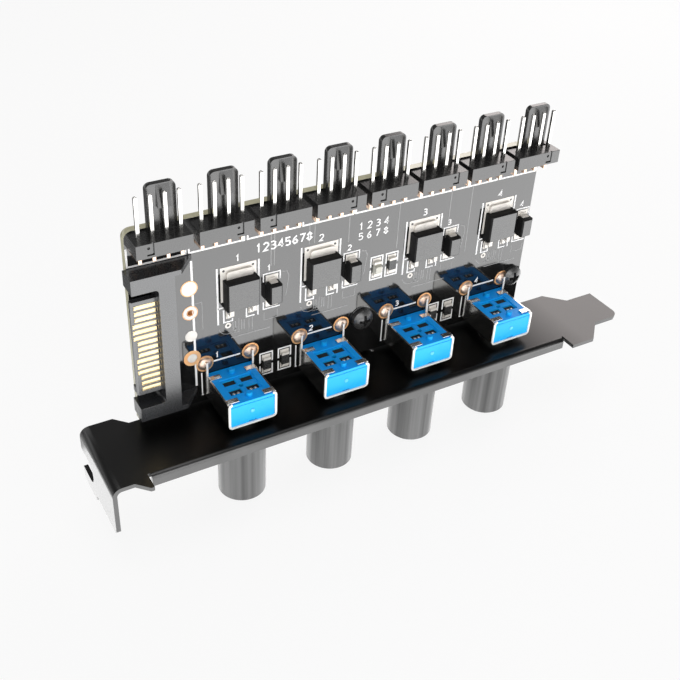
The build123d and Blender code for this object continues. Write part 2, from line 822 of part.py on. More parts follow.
solder_joints.part.label = "solder_joints"
export_step(solder_joints.part, "parts/solder_joints.step")

# Transistors with heat tabs and gull-wing leads
for number, place in enumerate(transistor_places, start=1):
    with BuildPart() as transistor:
        with BuildSketch(board_plane):
            with Locations((place, (transistor_bottom + transistor_top) / 2)):
                Rectangle(transistor_width, transistor_top - transistor_bottom)
        extrude(amount=transistor_thickness)
        chamfer(transistor.faces().sort_by(Axis.Y)[0].edges(), transistor_bevel)
    transistor.part.label = f"transistor_{number}"
    export_step(transistor.part, f"parts/transistor_{number}.step")

with BuildPart() as transistor_leads:
    for place in transistor_places:
        with BuildSketch(board_plane):
            with Locations((place, transistor_top + heat_tab_length / 2)):
                Rectangle(heat_tab_width, heat_tab_length)
            fillet(vertices().group_by(Axis.Y)[-1], heat_tab_corner)
        extrude(amount=heat_tab_thickness)
        for side in (-1, 1):
            with BuildSketch(section_plane(place + side * lead_spread)):
                with BuildLine():
                    Polyline(
                        (-lead_exit - lead_sheet, transistor_bottom),
                        (-lead_exit - lead_sheet, transistor_bottom - lead_run - lead_sheet),
                        (-lead_sheet, transistor_bottom - lead_run - lead_sheet),
                        (-lead_sheet, transistor_bottom - lead_run - lead_foot),
                        (0, transistor_bottom - lead_run - lead_foot),
                        (0, transistor_bottom - lead_run),
                        (-lead_exit, transistor_bottom - lead_run),
                        (-lead_exit, transistor_bottom),
                        close=True,
                    )
                make_face()
            extrude(amount=lead_width / 2, both=True)
transistor_leads.part.label = "transistor_leads"
export_step(transistor_leads.part, "parts/transistor_leads.step")

# Diodes with folded end leads
for number, place in enumerate(diode_places, start=1):
    with BuildPart() as diode:
        with BuildSketch(board_plane):
            with Locations((place, (diode_bottom + diode_top) / 2)):
                Rectangle(diode_width, diode_top - diode_bottom)
        extrude(amount=diode_thickness)
        chamfer(diode.faces().sort_by(Axis.Y)[0].edges(), diode_bevel)
    diode.part.label = f"diode_{number}"
    export_step(diode.part, f"parts/diode_{number}.step")

with BuildPart() as diode_leads:
    for place in diode_places:
        for end, out in ((diode_bottom, -1), (diode_top, 1)):
            with BuildSketch(section_plane(place)):
                with BuildLine():
                    Polyline(
                        (0, end),
                        (-diode_lead_rise, end),
                        (-diode_lead_rise, end + out * diode_lead_sheet),
                        (-diode_lead_sheet, end + out * diode_lead_sheet),
                        (-diode_lead_sheet, end + out * diode_lead_foot),
                        (0, end + out * diode_lead_foot),
                        close=True,
                    )
                make_face()
            extrude(amount=diode_lead_width / 2, both=True)
diode_leads.part.label = "diode_leads"
export_step(diode_leads.part, "parts/diode_leads.step")

# Chip resistors, the lamp and their end terminals
with BuildPart() as chip_resistors:
    with BuildSketch(board_plane):
        with Locations(chip_sites):
            Rectangle(chip_width, chip_body_length)
    extrude(amount=chip_thickness)
chip_resistors.part.label = "chip_resistors"
export_step(chip_resistors.part, "parts/chip_resistors.step")

with BuildPart() as status_led:
    with BuildSketch(board_plane):
        with Locations(led_site):
            Rectangle(chip_width, chip_body_length)
    extrude(amount=led_base)
    with BuildSketch(board_plane.offset(led_base)):
        with Locations(led_site):
            Rectangle(chip_width, led_lens_length)
    extrude(amount=led_lens_height, taper=led_lens_draft)
status_led.part.label = "status_led"
export_step(status_led.part, "parts/status_led.step")

with BuildPart() as chip_terminals:
    with BuildSketch(board_plane):
        for site_x, site_height in chip_sites + [led_site]:
            terminal_shift = (chip_length - chip_terminal) / 2
            with Locations((site_x, site_height - terminal_shift), (site_x, site_height + terminal_shift)):
                Rectangle(chip_width, chip_terminal)
    extrude(amount=chip_thickness)
chip_terminals.part.label = "chip_terminals"
export_step(chip_terminals.part, "parts/chip_terminals.step")
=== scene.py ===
import math

import bmesh
import bpy
from mathutils import Matrix, Vector


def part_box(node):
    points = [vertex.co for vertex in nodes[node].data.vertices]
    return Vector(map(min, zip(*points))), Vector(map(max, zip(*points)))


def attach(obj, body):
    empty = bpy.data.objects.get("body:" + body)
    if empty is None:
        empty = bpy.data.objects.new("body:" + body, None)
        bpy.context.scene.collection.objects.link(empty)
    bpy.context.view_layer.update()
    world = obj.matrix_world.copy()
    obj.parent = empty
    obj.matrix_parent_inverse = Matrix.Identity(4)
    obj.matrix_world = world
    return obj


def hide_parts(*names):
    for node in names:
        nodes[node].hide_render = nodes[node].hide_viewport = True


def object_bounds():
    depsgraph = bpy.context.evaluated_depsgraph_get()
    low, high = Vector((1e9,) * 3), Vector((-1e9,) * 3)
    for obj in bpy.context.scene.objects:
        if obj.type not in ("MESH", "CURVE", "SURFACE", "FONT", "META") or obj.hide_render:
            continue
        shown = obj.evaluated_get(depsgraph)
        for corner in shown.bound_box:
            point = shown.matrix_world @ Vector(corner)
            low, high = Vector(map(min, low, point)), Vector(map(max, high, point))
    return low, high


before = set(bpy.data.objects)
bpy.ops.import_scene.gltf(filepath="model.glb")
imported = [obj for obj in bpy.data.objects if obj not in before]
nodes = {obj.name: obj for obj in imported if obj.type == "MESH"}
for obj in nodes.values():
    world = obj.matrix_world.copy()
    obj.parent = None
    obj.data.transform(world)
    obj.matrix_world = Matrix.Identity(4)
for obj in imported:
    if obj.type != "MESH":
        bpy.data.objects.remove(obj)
cad_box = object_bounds()
MM = 0.001

# Places on the board are millimetres: x from the first header, z up from the plate's inner face
BOARD_LIFT = 0.45
board_low, board_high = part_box("circuit_board")
origin_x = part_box("fan_header_1")[0].x
plate_level = board_low.z - BOARD_LIFT * MM
board_front = board_low.y
board_back = board_high.y

HEADERS = range(1, 9)
DIALS = range(1, 5)


# Centre of a CAD node on the board, in board millimetres
def board_place(node):
    low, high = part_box(node)
    middle = (low + high) / 2
    return (middle.x - origin_x) / MM, (middle.z - plate_level) / MM


# Point on the board's face, raised towards the viewer, or on its back, raised away
def board_point(x, z, rise, back=False):
    y = board_back + rise * MM if back else board_front - rise * MM
    return Vector((origin_x + x * MM, y, plate_level + z * MM))


# Materials

def new_material(name, colour, roughness, metallic=0.0, ior=1.5):
    material = bpy.data.materials.new(name)
    material.use_nodes = True
    shader = material.node_tree.nodes["Principled BSDF"]
    shader.inputs["Base Color"].default_value = (*colour, 1.0)
    shader.inputs["Roughness"].default_value = roughness
    shader.inputs["Metallic"].default_value = metallic
    shader.inputs["IOR"].default_value = ior
    return material


# Socket linked to an input, or a plain value set on it
def feed(tree, value, socket):
    if isinstance(value, bpy.types.NodeSocket):
        tree.links.new(value, socket)
    else:
        socket.default_value = value


# X, Y and Z of a coordinate, such as Object for the place or Normal for the way a surface faces
def coordinate(tree, kind):
    place = tree.nodes.new("ShaderNodeTexCoord")
    split = tree.nodes.new("ShaderNodeSeparateXYZ")
    tree.links.new(place.outputs[kind], split.inputs["Vector"])
    return split.outputs


def calculate(tree, operation, *values):
    node = tree.nodes.new("ShaderNodeMath")
    node.operation = operation
    for value, socket in zip(values, node.inputs):
        feed(tree, value, socket)
    return node.outputs["Value"]


# One range turned into another, held at its ends
def change_over(tree, value, value_range, result_range=(0.0, 1.0)):
    node = tree.nodes.new("ShaderNodeMapRange")
    for name, number in zip(("From Min", "From Max", "To Min", "To Max"), (*value_range, *result_range)):
        node.inputs[name].default_value = number
    tree.links.new(value, node.inputs["Value"])
    return node.outputs["Result"]


# Noise in the shared frame: size is the grain in millimetres, along each axis
NOISE_SPAN = (0.3, 0.7)
BROAD_GRAIN = (6.0, 6.0, 6.0)


def noise(tree, size, detail=3.0):
    place = tree.nodes.new("ShaderNodeTexCoord")
    scale = tree.nodes.new("ShaderNodeMapping")
    scale.inputs["Scale"].default_value = [1.0 / (value * MM) for value in size]
    texture = tree.nodes.new("ShaderNodeTexNoise")
    texture.inputs["Scale"].default_value = 1.0
    texture.inputs["Detail"].default_value = detail
    tree.links.new(place.outputs["Object"], scale.inputs["Vector"])
    tree.links.new(scale.outputs["Vector"], texture.inputs["Vector"])
    return texture.outputs["Fac"]


def ramp(tree, value, stops):
    node = tree.nodes.new("ShaderNodeValToRGB")
    elements = node.color_ramp.elements
    elements[0].position = stops[0][0]
    elements[-1].position = stops[-1][0]
    for position, _ in stops[1:-1]:
        elements.new(position)
    for element, (_, colour) in zip(elements, stops):
        element.color = (*colour, 1.0)
    tree.links.new(value, node.inputs["Fac"])
    return node.outputs["Color"]


# Two colours across the span of a noise
def noise_colours(tree, value, colours):
    return ramp(tree, value, tuple(zip(NOISE_SPAN, colours)))


# Colour and roughness that vary with noise, and a fine bump
def finish(material, grain, bump_height, colours, roughness, broad=BROAD_GRAIN, detail=3.0):
    tree = material.node_tree
    shader = tree.nodes["Principled BSDF"]
    cloud = noise(tree, broad, detail)
    tree.links.new(noise_colours(tree, cloud, colours), shader.inputs["Base Color"])
    fine = noise(tree, grain, detail)
    tree.links.new(change_over(tree, fine, NOISE_SPAN, roughness), shader.inputs["Roughness"])
    bump = tree.nodes.new("ShaderNodeBump")
    bump.inputs["Strength"].default_value = 1.0
    bump.inputs["Distance"].default_value = bump_height * MM
    tree.links.new(fine, bump.inputs["Height"])
    tree.links.new(bump.outputs["Normal"], shader.inputs["Normal"])
    return material


# Zero to one as the surface turns to face up
def facing_up(tree, span):
    return change_over(tree, coordinate(tree, "Normal")["Z"], span)


# Second base colour, where the factor is one
def blend_colour(material, factor, colour):
    tree = material.node_tree
    base = tree.nodes["Principled BSDF"].inputs["Base Color"]
    blend = tree.nodes.new("ShaderNodeMix")
    blend.data_type = "RGBA"
    tree.links.new(factor, blend.inputs["Factor"])
    tree.links.new(base.links[0].from_socket, blend.inputs["A"])
    feed(tree, colour, blend.inputs["B"])
    tree.links.new(blend.outputs["Result"], base)


def shade(level, tint=(1.0, 1.0, 1.0)):
    return tuple(level * part for part in tint)


# Black coat of the bracket, glossy outside; on the inner face between the fold and the tongue the colour is
# painted sheen, lighter near the fold and at the tongue and darker between them
BRACKET_LENGTH = 120.0
INNER_PAINTED_SHEEN = ((6.0, 0.085), (22.0, 0.016), (92.0, 0.02), (106.0, 0.095))
INNER_SHEEN_FACING = (0.6, 0.95)


def paint_material():
    material = new_material("black_paint", shade(0.08), 0.32, metallic=1.0)
    finish(material, (0.25, 0.25, 0.25), 0.0002, (shade(0.078), shade(0.09)), (0.29, 0.35))
    tree = material.node_tree
    along = change_over(tree, coordinate(tree, "Object")["X"], (0.0, BRACKET_LENGTH * MM))
    stops = [(distance / BRACKET_LENGTH, shade(level)) for distance, level in INNER_PAINTED_SHEEN]
    # Painted sheen on the inner face, following the bracket's length
    blend_colour(material, facing_up(tree, INNER_SHEEN_FACING), ramp(tree, along, stops))
    return material


# Solder mask on the faces, bare laminate on the other cut edges; the edge under the board takes the dark mask
# colour as painted shade
MASK_FACING = 0.5
LAMINATE_GRAIN = (1.2, 0.12, 1.2)
LAMINATE_COLOURS = ((0.42, 0.40, 0.26), (0.62, 0.60, 0.44))


def board_material():
    material = new_material("solder_mask", shade(0.008), 0.12, ior=1.9)
    finish(material, (0.4, 0.5, 9.0), 0.0006, (shade(0.005), shade(0.009)), (0.03, 0.08),
           broad=(1.5, 5.0, 14.0))
    tree = material.node_tree
    way = coordinate(tree, "Normal")
    face = calculate(tree, "GREATER_THAN", calculate(tree, "ABSOLUTE", way["Y"]), MASK_FACING)
    # Painted shade: the edge under the board is kept dark instead of laminate
    under = calculate(tree, "LESS_THAN", way["Z"], -MASK_FACING)
    bare = calculate(tree, "SUBTRACT", 1.0, calculate(tree, "MAXIMUM", face, under))
    fibre = noise(tree, LAMINATE_GRAIN)
    blend_colour(material, bare, noise_colours(tree, fibre, LAMINATE_COLOURS))
    return material


def trace_material():
    material = new_material("mask_over_copper", shade(0.14), 0.16, ior=1.9)
    return finish(material, (0.4, 0.4, 6.0), 0.0005, (shade(0.11), shade(0.17)), (0.1, 0.2))


def header_material():
    material = new_material("header_plastic", shade(0.012), 0.26, ior=1.9)
    return finish(material, (0.12, 0.12, 0.12), 0.001, (shade(0.009), shade(0.016)), (0.2, 0.3))


def plug_material():
    tint = (0.92, 0.97, 1.08)
    material = new_material("plug_plastic", shade(0.022, tint), 0.32, ior=2.0)
    return finish(material, (0.15, 0.15, 0.15), 0.0012, (shade(0.015, tint), shade(0.027, tint)),
                  (0.24, 0.32))


# Matt sides of the chips, round their glossy faces
def chip_side_material():
    material = new_material("chip_sides", shade(0.008), 0.6, ior=1.25)
    return finish(material, (0.2, 0.2, 0.2), 0.003, (shade(0.005), shade(0.012)), (0.5, 0.7))


def chip_material():
    material = new_material("moulded_chip", shade(0.006), 0.26, ior=1.95)
    return finish(material, (0.5, 0.5, 0.3), 0.002, (shade(0.004), shade(0.009)), (0.22, 0.34),
                  broad=(1.5, 1.5, 0.8))


def tin_material():
    tint = (1.0, 0.985, 0.95)
    material = new_material("tinned_metal", shade(0.85, tint), 0.22, metallic=1.0)
    return finish(material, (0.3, 0.3, 0.9), 0.0003, (shade(0.74, tint), shade(0.88, tint)), (0.22, 0.34))


# Dull cream tin of pads and end caps
def pad_material():
    tint = (1.0, 0.955, 0.89)
    material = new_material("dull_tin", shade(0.72, tint), 0.5, metallic=0.3)
    return finish(material, (0.4, 0.4, 0.4), 0.0004, (shade(0.66, tint), shade(0.78, tint)), (0.44, 0.52),
                  broad=(1.2, 1.2, 1.2))


# Tinned pins, copper-coloured on their legs below the headers
LEG_COPPER = (0.8, 0.58, 0.44, 1.0)
LEG_FADE = 1.2


def pin_material():
    tint = (1.0, 0.985, 0.95)
    material = new_material("tinned_pin", shade(0.85, tint), 0.2, metallic=1.0)
    finish(material, (0.3, 0.3, 1.6), 0.0006, (shade(0.78, tint), shade(0.9, tint)), (0.12, 0.26))
    tree = material.node_tree
    header_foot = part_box("fan_header_1")[0].z
    fade = (header_foot, header_foot - LEG_FADE * MM)
    blend_colour(material, change_over(tree, coordinate(tree, "Object")["Z"], fade), LEG_COPPER)
    return material


def nickel_material():
    tint = (1.0, 0.99, 0.96)
    material = new_material("nickel_plate", shade(0.8, tint), 0.25, metallic=1.0)
    return finish(material, (0.2, 1.2, 0.2), 0.0002, (shade(0.72, tint), shade(0.86, tint)), (0.16, 0.24))


# Dull bright material for painted highlights: the glints on the dial frames' edges and round the bend reliefs
def painted_glint_material():
    tint = (1.0, 0.99, 0.97)
    material = new_material("painted_edge_glint", shade(0.85, tint), 0.45, metallic=0.2)
    return finish(material, (0.3, 0.3, 0.3), 0.0004, (shade(0.8, tint), shade(0.9, tint)), (0.4, 0.5))


def gold_material():
    material = new_material("gold_plate", (0.78, 0.6, 0.32), 0.3, metallic=1.0)
    return finish(material, (0.8, 0.3, 0.1), 0.0004, ((0.74, 0.57, 0.3), (0.84, 0.69, 0.42)), (0.24, 0.34))


def solder_material():
    material = new_material("solder", (0.68, 0.5, 0.38), 0.42, metallic=1.0)
    return finish(material, (1.2, 1.2, 1.2), 0.001, ((0.64, 0.44, 0.32), (0.72, 0.6, 0.52)), (0.36, 0.48),
                  broad=(1.6, 1.6, 1.6))


def copper_material():
    material = new_material("bare_copper", (0.84, 0.46, 0.2), 0.4, metallic=0.7)
    return finish(material, (0.3, 0.3, 0.3), 0.002, ((0.78, 0.38, 0.15), (0.88, 0.54, 0.28)), (0.34, 0.46))


def ink_material():
    material = new_material("white_ink", shade(0.86), 0.6)
    return finish(material, (0.12, 0.12, 0.12), 0.002, (shade(0.78), shade(0.92)), (0.5, 0.7),
                  broad=(2.0, 2.0, 2.0))


# Blue plastic, with painted shade on the roof: faces that look up get a deeper blue
ROOF_SHADE_FACING = (0.5, 0.9)
ROOF_PAINTED_SHADE = ((0.002, 0.33, 0.95), (0.003, 0.37, 0.99))


def dial_material():
    material = new_material("blue_plastic", (0.006, 0.43, 0.93), 0.42, ior=1.38)
    finish(material, (0.2, 0.2, 0.2), 0.0015, ((0.005, 0.42, 0.89), (0.008, 0.46, 0.95)), (0.36, 0.48))
    tree = material.node_tree
    cloud = noise(tree, BROAD_GRAIN)
    # Painted shade on the faces that look up
    blend_colour(material, facing_up(tree, ROOF_SHADE_FACING), noise_colours(tree, cloud, ROOF_PAINTED_SHADE))
    return material


# Pale mark that the mould leaves on the front of each dial
def gate_material():
    material = new_material("gate_mark", (0.12, 0.62, 0.95), 0.4, ior=1.4)
    return finish(material, (0.15, 0.15, 0.15), 0.001, ((0.08, 0.56, 0.92), (0.18, 0.68, 0.97)), (0.34, 0.46),
                  broad=(0.5, 0.5, 0.5))


# Satin grey; the light and dark streaks of colour along the knob are painted reflection
def knob_material():
    material = new_material("knob_satin", shade(0.07), 0.42, ior=1.35)
    # Painted reflection: colour streaks stretched along the knob
    return finish(material, (0.12, 0.12, 60.0), 0.0015, (shade(0.03), shade(0.125)), (0.36, 0.48),
                  broad=(1.6, 1.6, 90.0), detail=5.0)


def screw_material():
    material = new_material("black_screw", shade(0.03), 0.3, ior=1.8)
    return finish(material, (0.3, 0.3, 0.3), 0.002, (shade(0.02), shade(0.04)), (0.22, 0.38))


# Glaze of the chip resistors; the same dark material is painted shade in the via holes
def glaze_material():
    material = new_material("resistor_glaze_and_hole_shade", shade(0.03), 0.3, ior=1.6)
    return finish(material, (0.2, 0.2, 0.2), 0.002, (shade(0.02), shade(0.04)), (0.22, 0.38))


def lens_material():
    material = new_material("lamp_lens", (0.9, 0.88, 0.78), 0.15)
    material.node_tree.nodes["Principled BSDF"].inputs["Transmission Weight"].default_value = 0.4
    return finish(material, (0.4, 0.4, 0.4), 0.001, ((0.86, 0.84, 0.72), (0.94, 0.93, 0.86)), (0.1, 0.22))


# Carbon film of the dial tracks; the same dark material is painted shade under the dial windows and at the
# plug's slot ends
def track_material():
    material = new_material("carbon_film_and_shade", shade(0.012), 0.6)
    return finish(material, (0.1, 0.1, 0.1), 0.003, (shade(0.008), shade(0.016)), (0.5, 0.7))


def shaft_material():
    material = new_material("turned_metal", shade(0.7), 0.3, metallic=1.0)
    return finish(material, (2.0, 2.0, 0.08), 0.001, (shade(0.62), shade(0.76)), (0.24, 0.4))


paint = paint_material()
mask = board_material()
covered_copper = trace_material()
header_plastic = header_material()
plug_plastic = plug_material()
chip = chip_material()
chip_sides = chip_side_material()
tin = tin_material()
pad_tin = pad_material()
pin_tin = pin_material()
nickel = nickel_material()
painted_edge_glint = painted_glint_material()
gold = gold_material()
solder = solder_material()
copper = copper_material()
ink = ink_material()
blue = dial_material()
pale_blue = gate_material()
satin = knob_material()
screw_black = screw_material()
glaze_and_hole_shade = glaze_material()
lens = lens_material()
carbon_and_shade = track_material()
turned = shaft_material()

node_materials = {
    "bracket": paint,
    "circuit_board": mask,
    "board_screws": screw_black,
    "sata_housing": plug_plastic,
    "sata_contacts": gold,
    "transistor_leads": pad_tin,
    "diode_leads": pad_tin,
    "chip_resistors": glaze_and_hole_shade,
    "chip_terminals": pad_tin,
    "status_led": lens,
    "pot_tracks": carbon_and_shade,
    "pot_terminals": tin,
    "solder_joints": solder,
}
for number in HEADERS:
    node_materials[f"fan_header_{number}"] = header_plastic
    node_materials[f"fan_pins_{number}"] = pin_tin
for number in DIALS:
    node_materials[f"transistor_{number}"] = chip_sides
    node_materials[f"diode_{number}"] = chip_sides
    node_materials[f"pot_frame_{number}"] = nickel
    node_materials[f"pot_body_{number}"] = blue
    node_materials[f"pot_shaft_{number}"] = turned
    node_materials[f"pot_wiper_{number}"] = gold
    node_materials[f"knob_{number}"] = satin
for name, material in node_materials.items():
    nodes[name].data.materials.clear()
    nodes[name].data.materials.append(material)


# Rounded edges on the CAD pieces, in millimetres
edge_rounds = {"bracket": 0.1, "circuit_board": 0.05, "sata_housing": 0.04, "sata_contacts": 0.08}
for number in HEADERS:
    edge_rounds[f"fan_header_{number}"] = 0.09
    edge_rounds[f"fan_pins_{number}"] = 0.06
for number in DIALS:
    edge_rounds[f"transistor_{number}"] = 0.08
    edge_rounds[f"diode_{number}"] = 0.08
    edge_rounds[f"pot_body_{number}"] = 0.08
    edge_rounds[f"pot_frame_{number}"] = 0.06


WELD_REACH = 0.002
FLAT_ANGLE = 1.0
SHARP_ANGLE = 40.0
ROUND_STEPS = 2


def round_edges(piece, width):
    weld = piece.modifiers.new("weld", "WELD")
    weld.merge_threshold = WELD_REACH * MM
    merge = piece.modifiers.new("merge", "DECIMATE")
    merge.decimate_type = "DISSOLVE"
    merge.angle_limit = math.radians(FLAT_ANGLE)
    bevel = piece.modifiers.new("round", "BEVEL")
    bevel.width = width * MM
    bevel.segments = ROUND_STEPS
    bevel.limit_method = "ANGLE"
    bevel.angle_limit = math.radians(SHARP_ANGLE)
    bevel.use_clamp_overlap = True
    bevel.harden_normals = True


for name, width in edge_rounds.items():
    round_edges(nodes[name], width)


# Thin shapes on the board, in board millimetres
SINK = 0.02
INK_RISE = 0.03
PAD_RISE = 0.04
TRACE_RISE = 0.02
OVERLAP = 0.01
LINE = 0.34
THIN_LINE = 0.28
SHARPEST_MITRE = 0.4


def arc(place, radius, start, turn, count):
    angles = [math.radians(start + turn * step / (count - 1)) for step in range(count)]
    return [(place[0] + radius * math.cos(angle), place[1] + radius * math.sin(angle)) for angle in angles]


def circle(place, radius, count=24):
    return arc(place, radius, 0.0, 360.0, count + 1)[:-1]


def rectangle(left, low, right, high):
    return [(left, low), (right, low), (right, high), (left, high)]


# Line beside another, at a distance, with mitred corners
def beside(points, shift, closed):
    places = [Vector(point) for point in points]
    last = len(places) - 1
    moved = []
    for number, here in enumerate(places):
        ways = []
        if closed or number > 0:
            ways.append((here - places[number - 1]).normalized())
        if closed or number < last:
            ways.append((places[number + 1 if number < last else 0] - here).normalized())
        along = sum(ways, Vector((0.0, 0.0))).normalized()
        across = Vector((-along.y, along.x))
        moved.append(here + across * shift / max(along.dot(ways[0]), SHARPEST_MITRE))
    return moved


# Raised band along a line, such as a printed line or a trace
def band(mesh, points, width, rise, closed=False, back=False, foot=-SINK):
    left = beside(points, width / 2, closed)
    right = beside(points, -width / 2, closed)
    rims = []
    for line, height in ((left, foot), (left, rise), (right, rise), (right, foot)):
        rims.append([mesh.verts.new(board_point(x, z, height, back)) for x, z in line])
    count = len(points)
    for number in range(4):
        first, second = rims[number - 1], rims[number]
        for step in range(0 if closed else 1, count):
            mesh.faces.new((first[step - 1], first[step], second[step], second[step - 1]))
    if not closed:
        for step in (0, count - 1):
            mesh.faces.new([rim[step] for rim in rims])


# Flat shape between two heights over a spot
def slab(mesh, spot, outline, low, high):
    foot = [mesh.verts.new(spot(x, y, low)) for x, y in outline]
    head = [mesh.verts.new(spot(x, y, high)) for x, y in outline]
    mesh.faces.new(foot)
    mesh.faces.new(head)
    for number in range(len(outline)):
        mesh.faces.new((foot[number - 1], foot[number], head[number], head[number - 1]))


# Spot on the board, for shapes across, up and out from it
def on_board(x, z, back=False):
    return lambda across, up, rise: board_point(x + across, z + up, rise, back)


# Raised flat shape on the board, such as a pad
def prism(mesh, outline, rise, back=False):
    slab(mesh, on_board(0.0, 0.0, back), outline, -SINK, rise)


def ring(mesh, place, outer, inner, rise, back=False):
    band(mesh, circle(place, (outer + inner) / 2), outer - inner, rise, closed=True, back=back)


# Turned shape at a spot: profile points are radius and rise, from the rim to the peak on the axis
def lathe(mesh, spot, profile, count=16):
    rims = []
    for radius, rise in profile[:-1]:
        rims.append([mesh.verts.new(spot(x, y, rise)) for x, y in circle((0.0, 0.0), radius, count)])
    peak = mesh.verts.new(spot(0.0, 0.0, profile[-1][1]))
    mesh.faces.new(rims[0])
    for lower, upper in zip(rims, rims[1:]):
        for number in range(count):
            mesh.faces.new((lower[number - 1], lower[number], upper[number], upper[number - 1]))
    for number in range(count):
        mesh.faces.new((rims[-1][number - 1], rims[-1][number], peak))


def add_piece(name, mesh, material, smooth=False, body="hub"):
    bmesh.ops.recalc_face_normals(mesh, faces=mesh.faces)
    for face in mesh.faces:
        face.smooth = smooth and len(face.verts) < 5
    data = bpy.data.meshes.new(name)
    mesh.to_mesh(data)
    mesh.free()
    data.materials.append(material)
    piece = bpy.data.objects.new(name, data)
    bpy.context.scene.collection.objects.link(piece)
    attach(piece, body)
    return piece


# Places on the board
transistors = [board_place(f"transistor_{number}")[0] for number in DIALS]
diodes = [board_place(f"diode_{number}")[0] for number in DIALS]
dial_axes = [board_place(f"knob_{number}")[0] for number in DIALS]
header_lefts = [(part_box(f"fan_header_{number}")[0].x - origin_x) / MM for number in HEADERS]
HEADER_WIDTH = 10.16
PIN_PLACES = (-3.81, -1.27, 1.27, 3.81)
PIN_LEG = 36.32
CHIPS = ((26.2, 5.05), (30.25, 5.05), (65.8, 5.05), (69.75, 5.05), (50.55, 20.75), (54.1, 20.75))
LEAD_SPREAD = 2.3
EAR_SPREAD = 4.775
EAR_HEIGHT = 9.3
SCREWS = ((47.9, 9.4), (86.2, 9.4))
PAD_COLUMN = 10.75
BARREL = 1.5
ears = [(axis + side * EAR_SPREAD, EAR_HEIGHT) for axis in dial_axes for side in (-1, 1)]
board_right = (board_high.x - origin_x) / MM
PRINT_END = board_right - 0.3
TRACE_END = board_right - 0.4
SOLDER_END = board_right - 0.05


# Lines of a part, kept on the board: each has a width and points, across from the part and up the board
def draw(mesh, x, lines, rise, end, back=False):
    for width, points in lines:
        band(mesh, [(min(x + across, end), up) for across, up in points], width, rise, back=back)


# Strokes of plain digits in a box of height one
DIGITS = {
    1: [[(0.1, 0.8), (0.3, 1.0), (0.3, 0.0)]],
    2: [[(0.0, 0.8), (0.15, 1.0), (0.45, 1.0), (0.6, 0.8), (0.6, 0.6), (0.0, 0.0), (0.6, 0.0)]],
    3: [[(0.0, 0.95), (0.3, 1.0), (0.55, 0.85), (0.5, 0.6), (0.25, 0.53), (0.55, 0.42), (0.6, 0.2),
         (0.4, 0.0), (0.0, 0.05)]],
    4: [[(0.45, 0.0), (0.45, 1.0), (0.0, 0.3), (0.65, 0.3)]],
    5: [[(0.6, 1.0), (0.05, 1.0), (0.05, 0.57), (0.4, 0.6), (0.6, 0.4), (0.55, 0.1), (0.3, 0.0),
         (0.0, 0.08)]],
    6: [[(0.5, 1.0), (0.15, 0.7), (0.0, 0.3), (0.2, 0.0), (0.5, 0.08), (0.6, 0.3), (0.4, 0.52),
         (0.1, 0.45)]],
    7: [[(0.0, 1.0), (0.6, 1.0), (0.2, 0.0)]],
    8: [[(0.3, 0.54), (0.05, 0.77), (0.3, 1.0), (0.55, 0.77), (0.3, 0.54)],
        [(0.3, 0.54), (0.0, 0.27), (0.3, 0.0), (0.6, 0.27), (0.3, 0.54)]],
}


def digit(mesh, number, left, low, height, width=0.24):
    for stroke in DIGITS[number]:
        band(mesh, [(left + x * height, low + z * height) for x, z in stroke], width, INK_RISE)


# White printing: header outlines, part outlines, dial lines and plain numbers
HEADER_RIGHT = HEADER_WIDTH + 0.25
HEADER_PRINT = ((LINE, ((-0.25, 37.9), (-0.25, 34.3), (HEADER_RIGHT, 34.3), (HEADER_RIGHT, 37.9))),)
PLUG_PRINT = ((0.42, ((11.37, 32.6), (11.37, 4.6))),)
TRANSISTOR_PRINT = (
    (LINE, ((-4.4, 29.6), (-4.4, 17.3))),
    (LINE, ((4.0, 29.6), (4.0, 25.7))),
    (THIN_LINE, ((-4.4, 20.9), (-3.3, 20.9))),
    (THIN_LINE, ((-3.25, 20.3), (-3.25, 17.5), (-1.5, 17.5), (-1.5, 18.1))),
    (THIN_LINE, ((0.3, 19.7), (1.4, 19.7), (1.4, 17.5), (3.1, 17.5))),
    (THIN_LINE, ((3.8, 19.7), (3.8, 17.3))),
)
DIODE_PRINT = (
    (0.26, ((-1.75, 24.2), (-1.75, 25.9), (1.75, 25.9), (1.75, 24.2))),
    (0.26, ((-1.75, 19.7), (-1.75, 18.1), (1.75, 18.1))),
)
DIAL_PRINT = (
    (LINE, ((-3.0, 9.3), (2.6, 9.3))),
    (0.24, ((-5.5, 7.3), (-5.5, 2.0), (-5.2, 2.0))),
)
CHIP_PRINT_HALF, CHIP_PRINT_NEAR, CHIP_PRINT_FAR = 1.35, 0.35, 2.6
CHIP_PRINT_LINE = 0.3

# Numbers: across from the part, up the board and height
TRANSISTOR_NUMBER = (-0.6, 30.2, 1.3)
DIODE_NUMBER = (-0.9, 26.5, 1.1)
DIAL_NUMBER = (-2.5, 10.0, 1.1)
ROW_LEFT, ROW_STEP, ROW_UP, ROW_HEIGHT, ROW_LINE = 22.6, 1.5, 31.0, 1.6, 0.3
GRID_LEFT, GRID_STEP, GRID_UP, GRID_DROP, GRID_HEIGHT = 46.0, 1.9, 30.4, 2.2, 1.4
GRID_NUMBERS = ((1, 2, 3, 4), (5, 6, 7, 8))


def print_parts(mesh, axes, lines, number_place):
    across, up, height = number_place
    for number, x in enumerate(axes, start=1):
        draw(mesh, x, lines, INK_RISE, PRINT_END)
        digit(mesh, number, x + across, up, height)


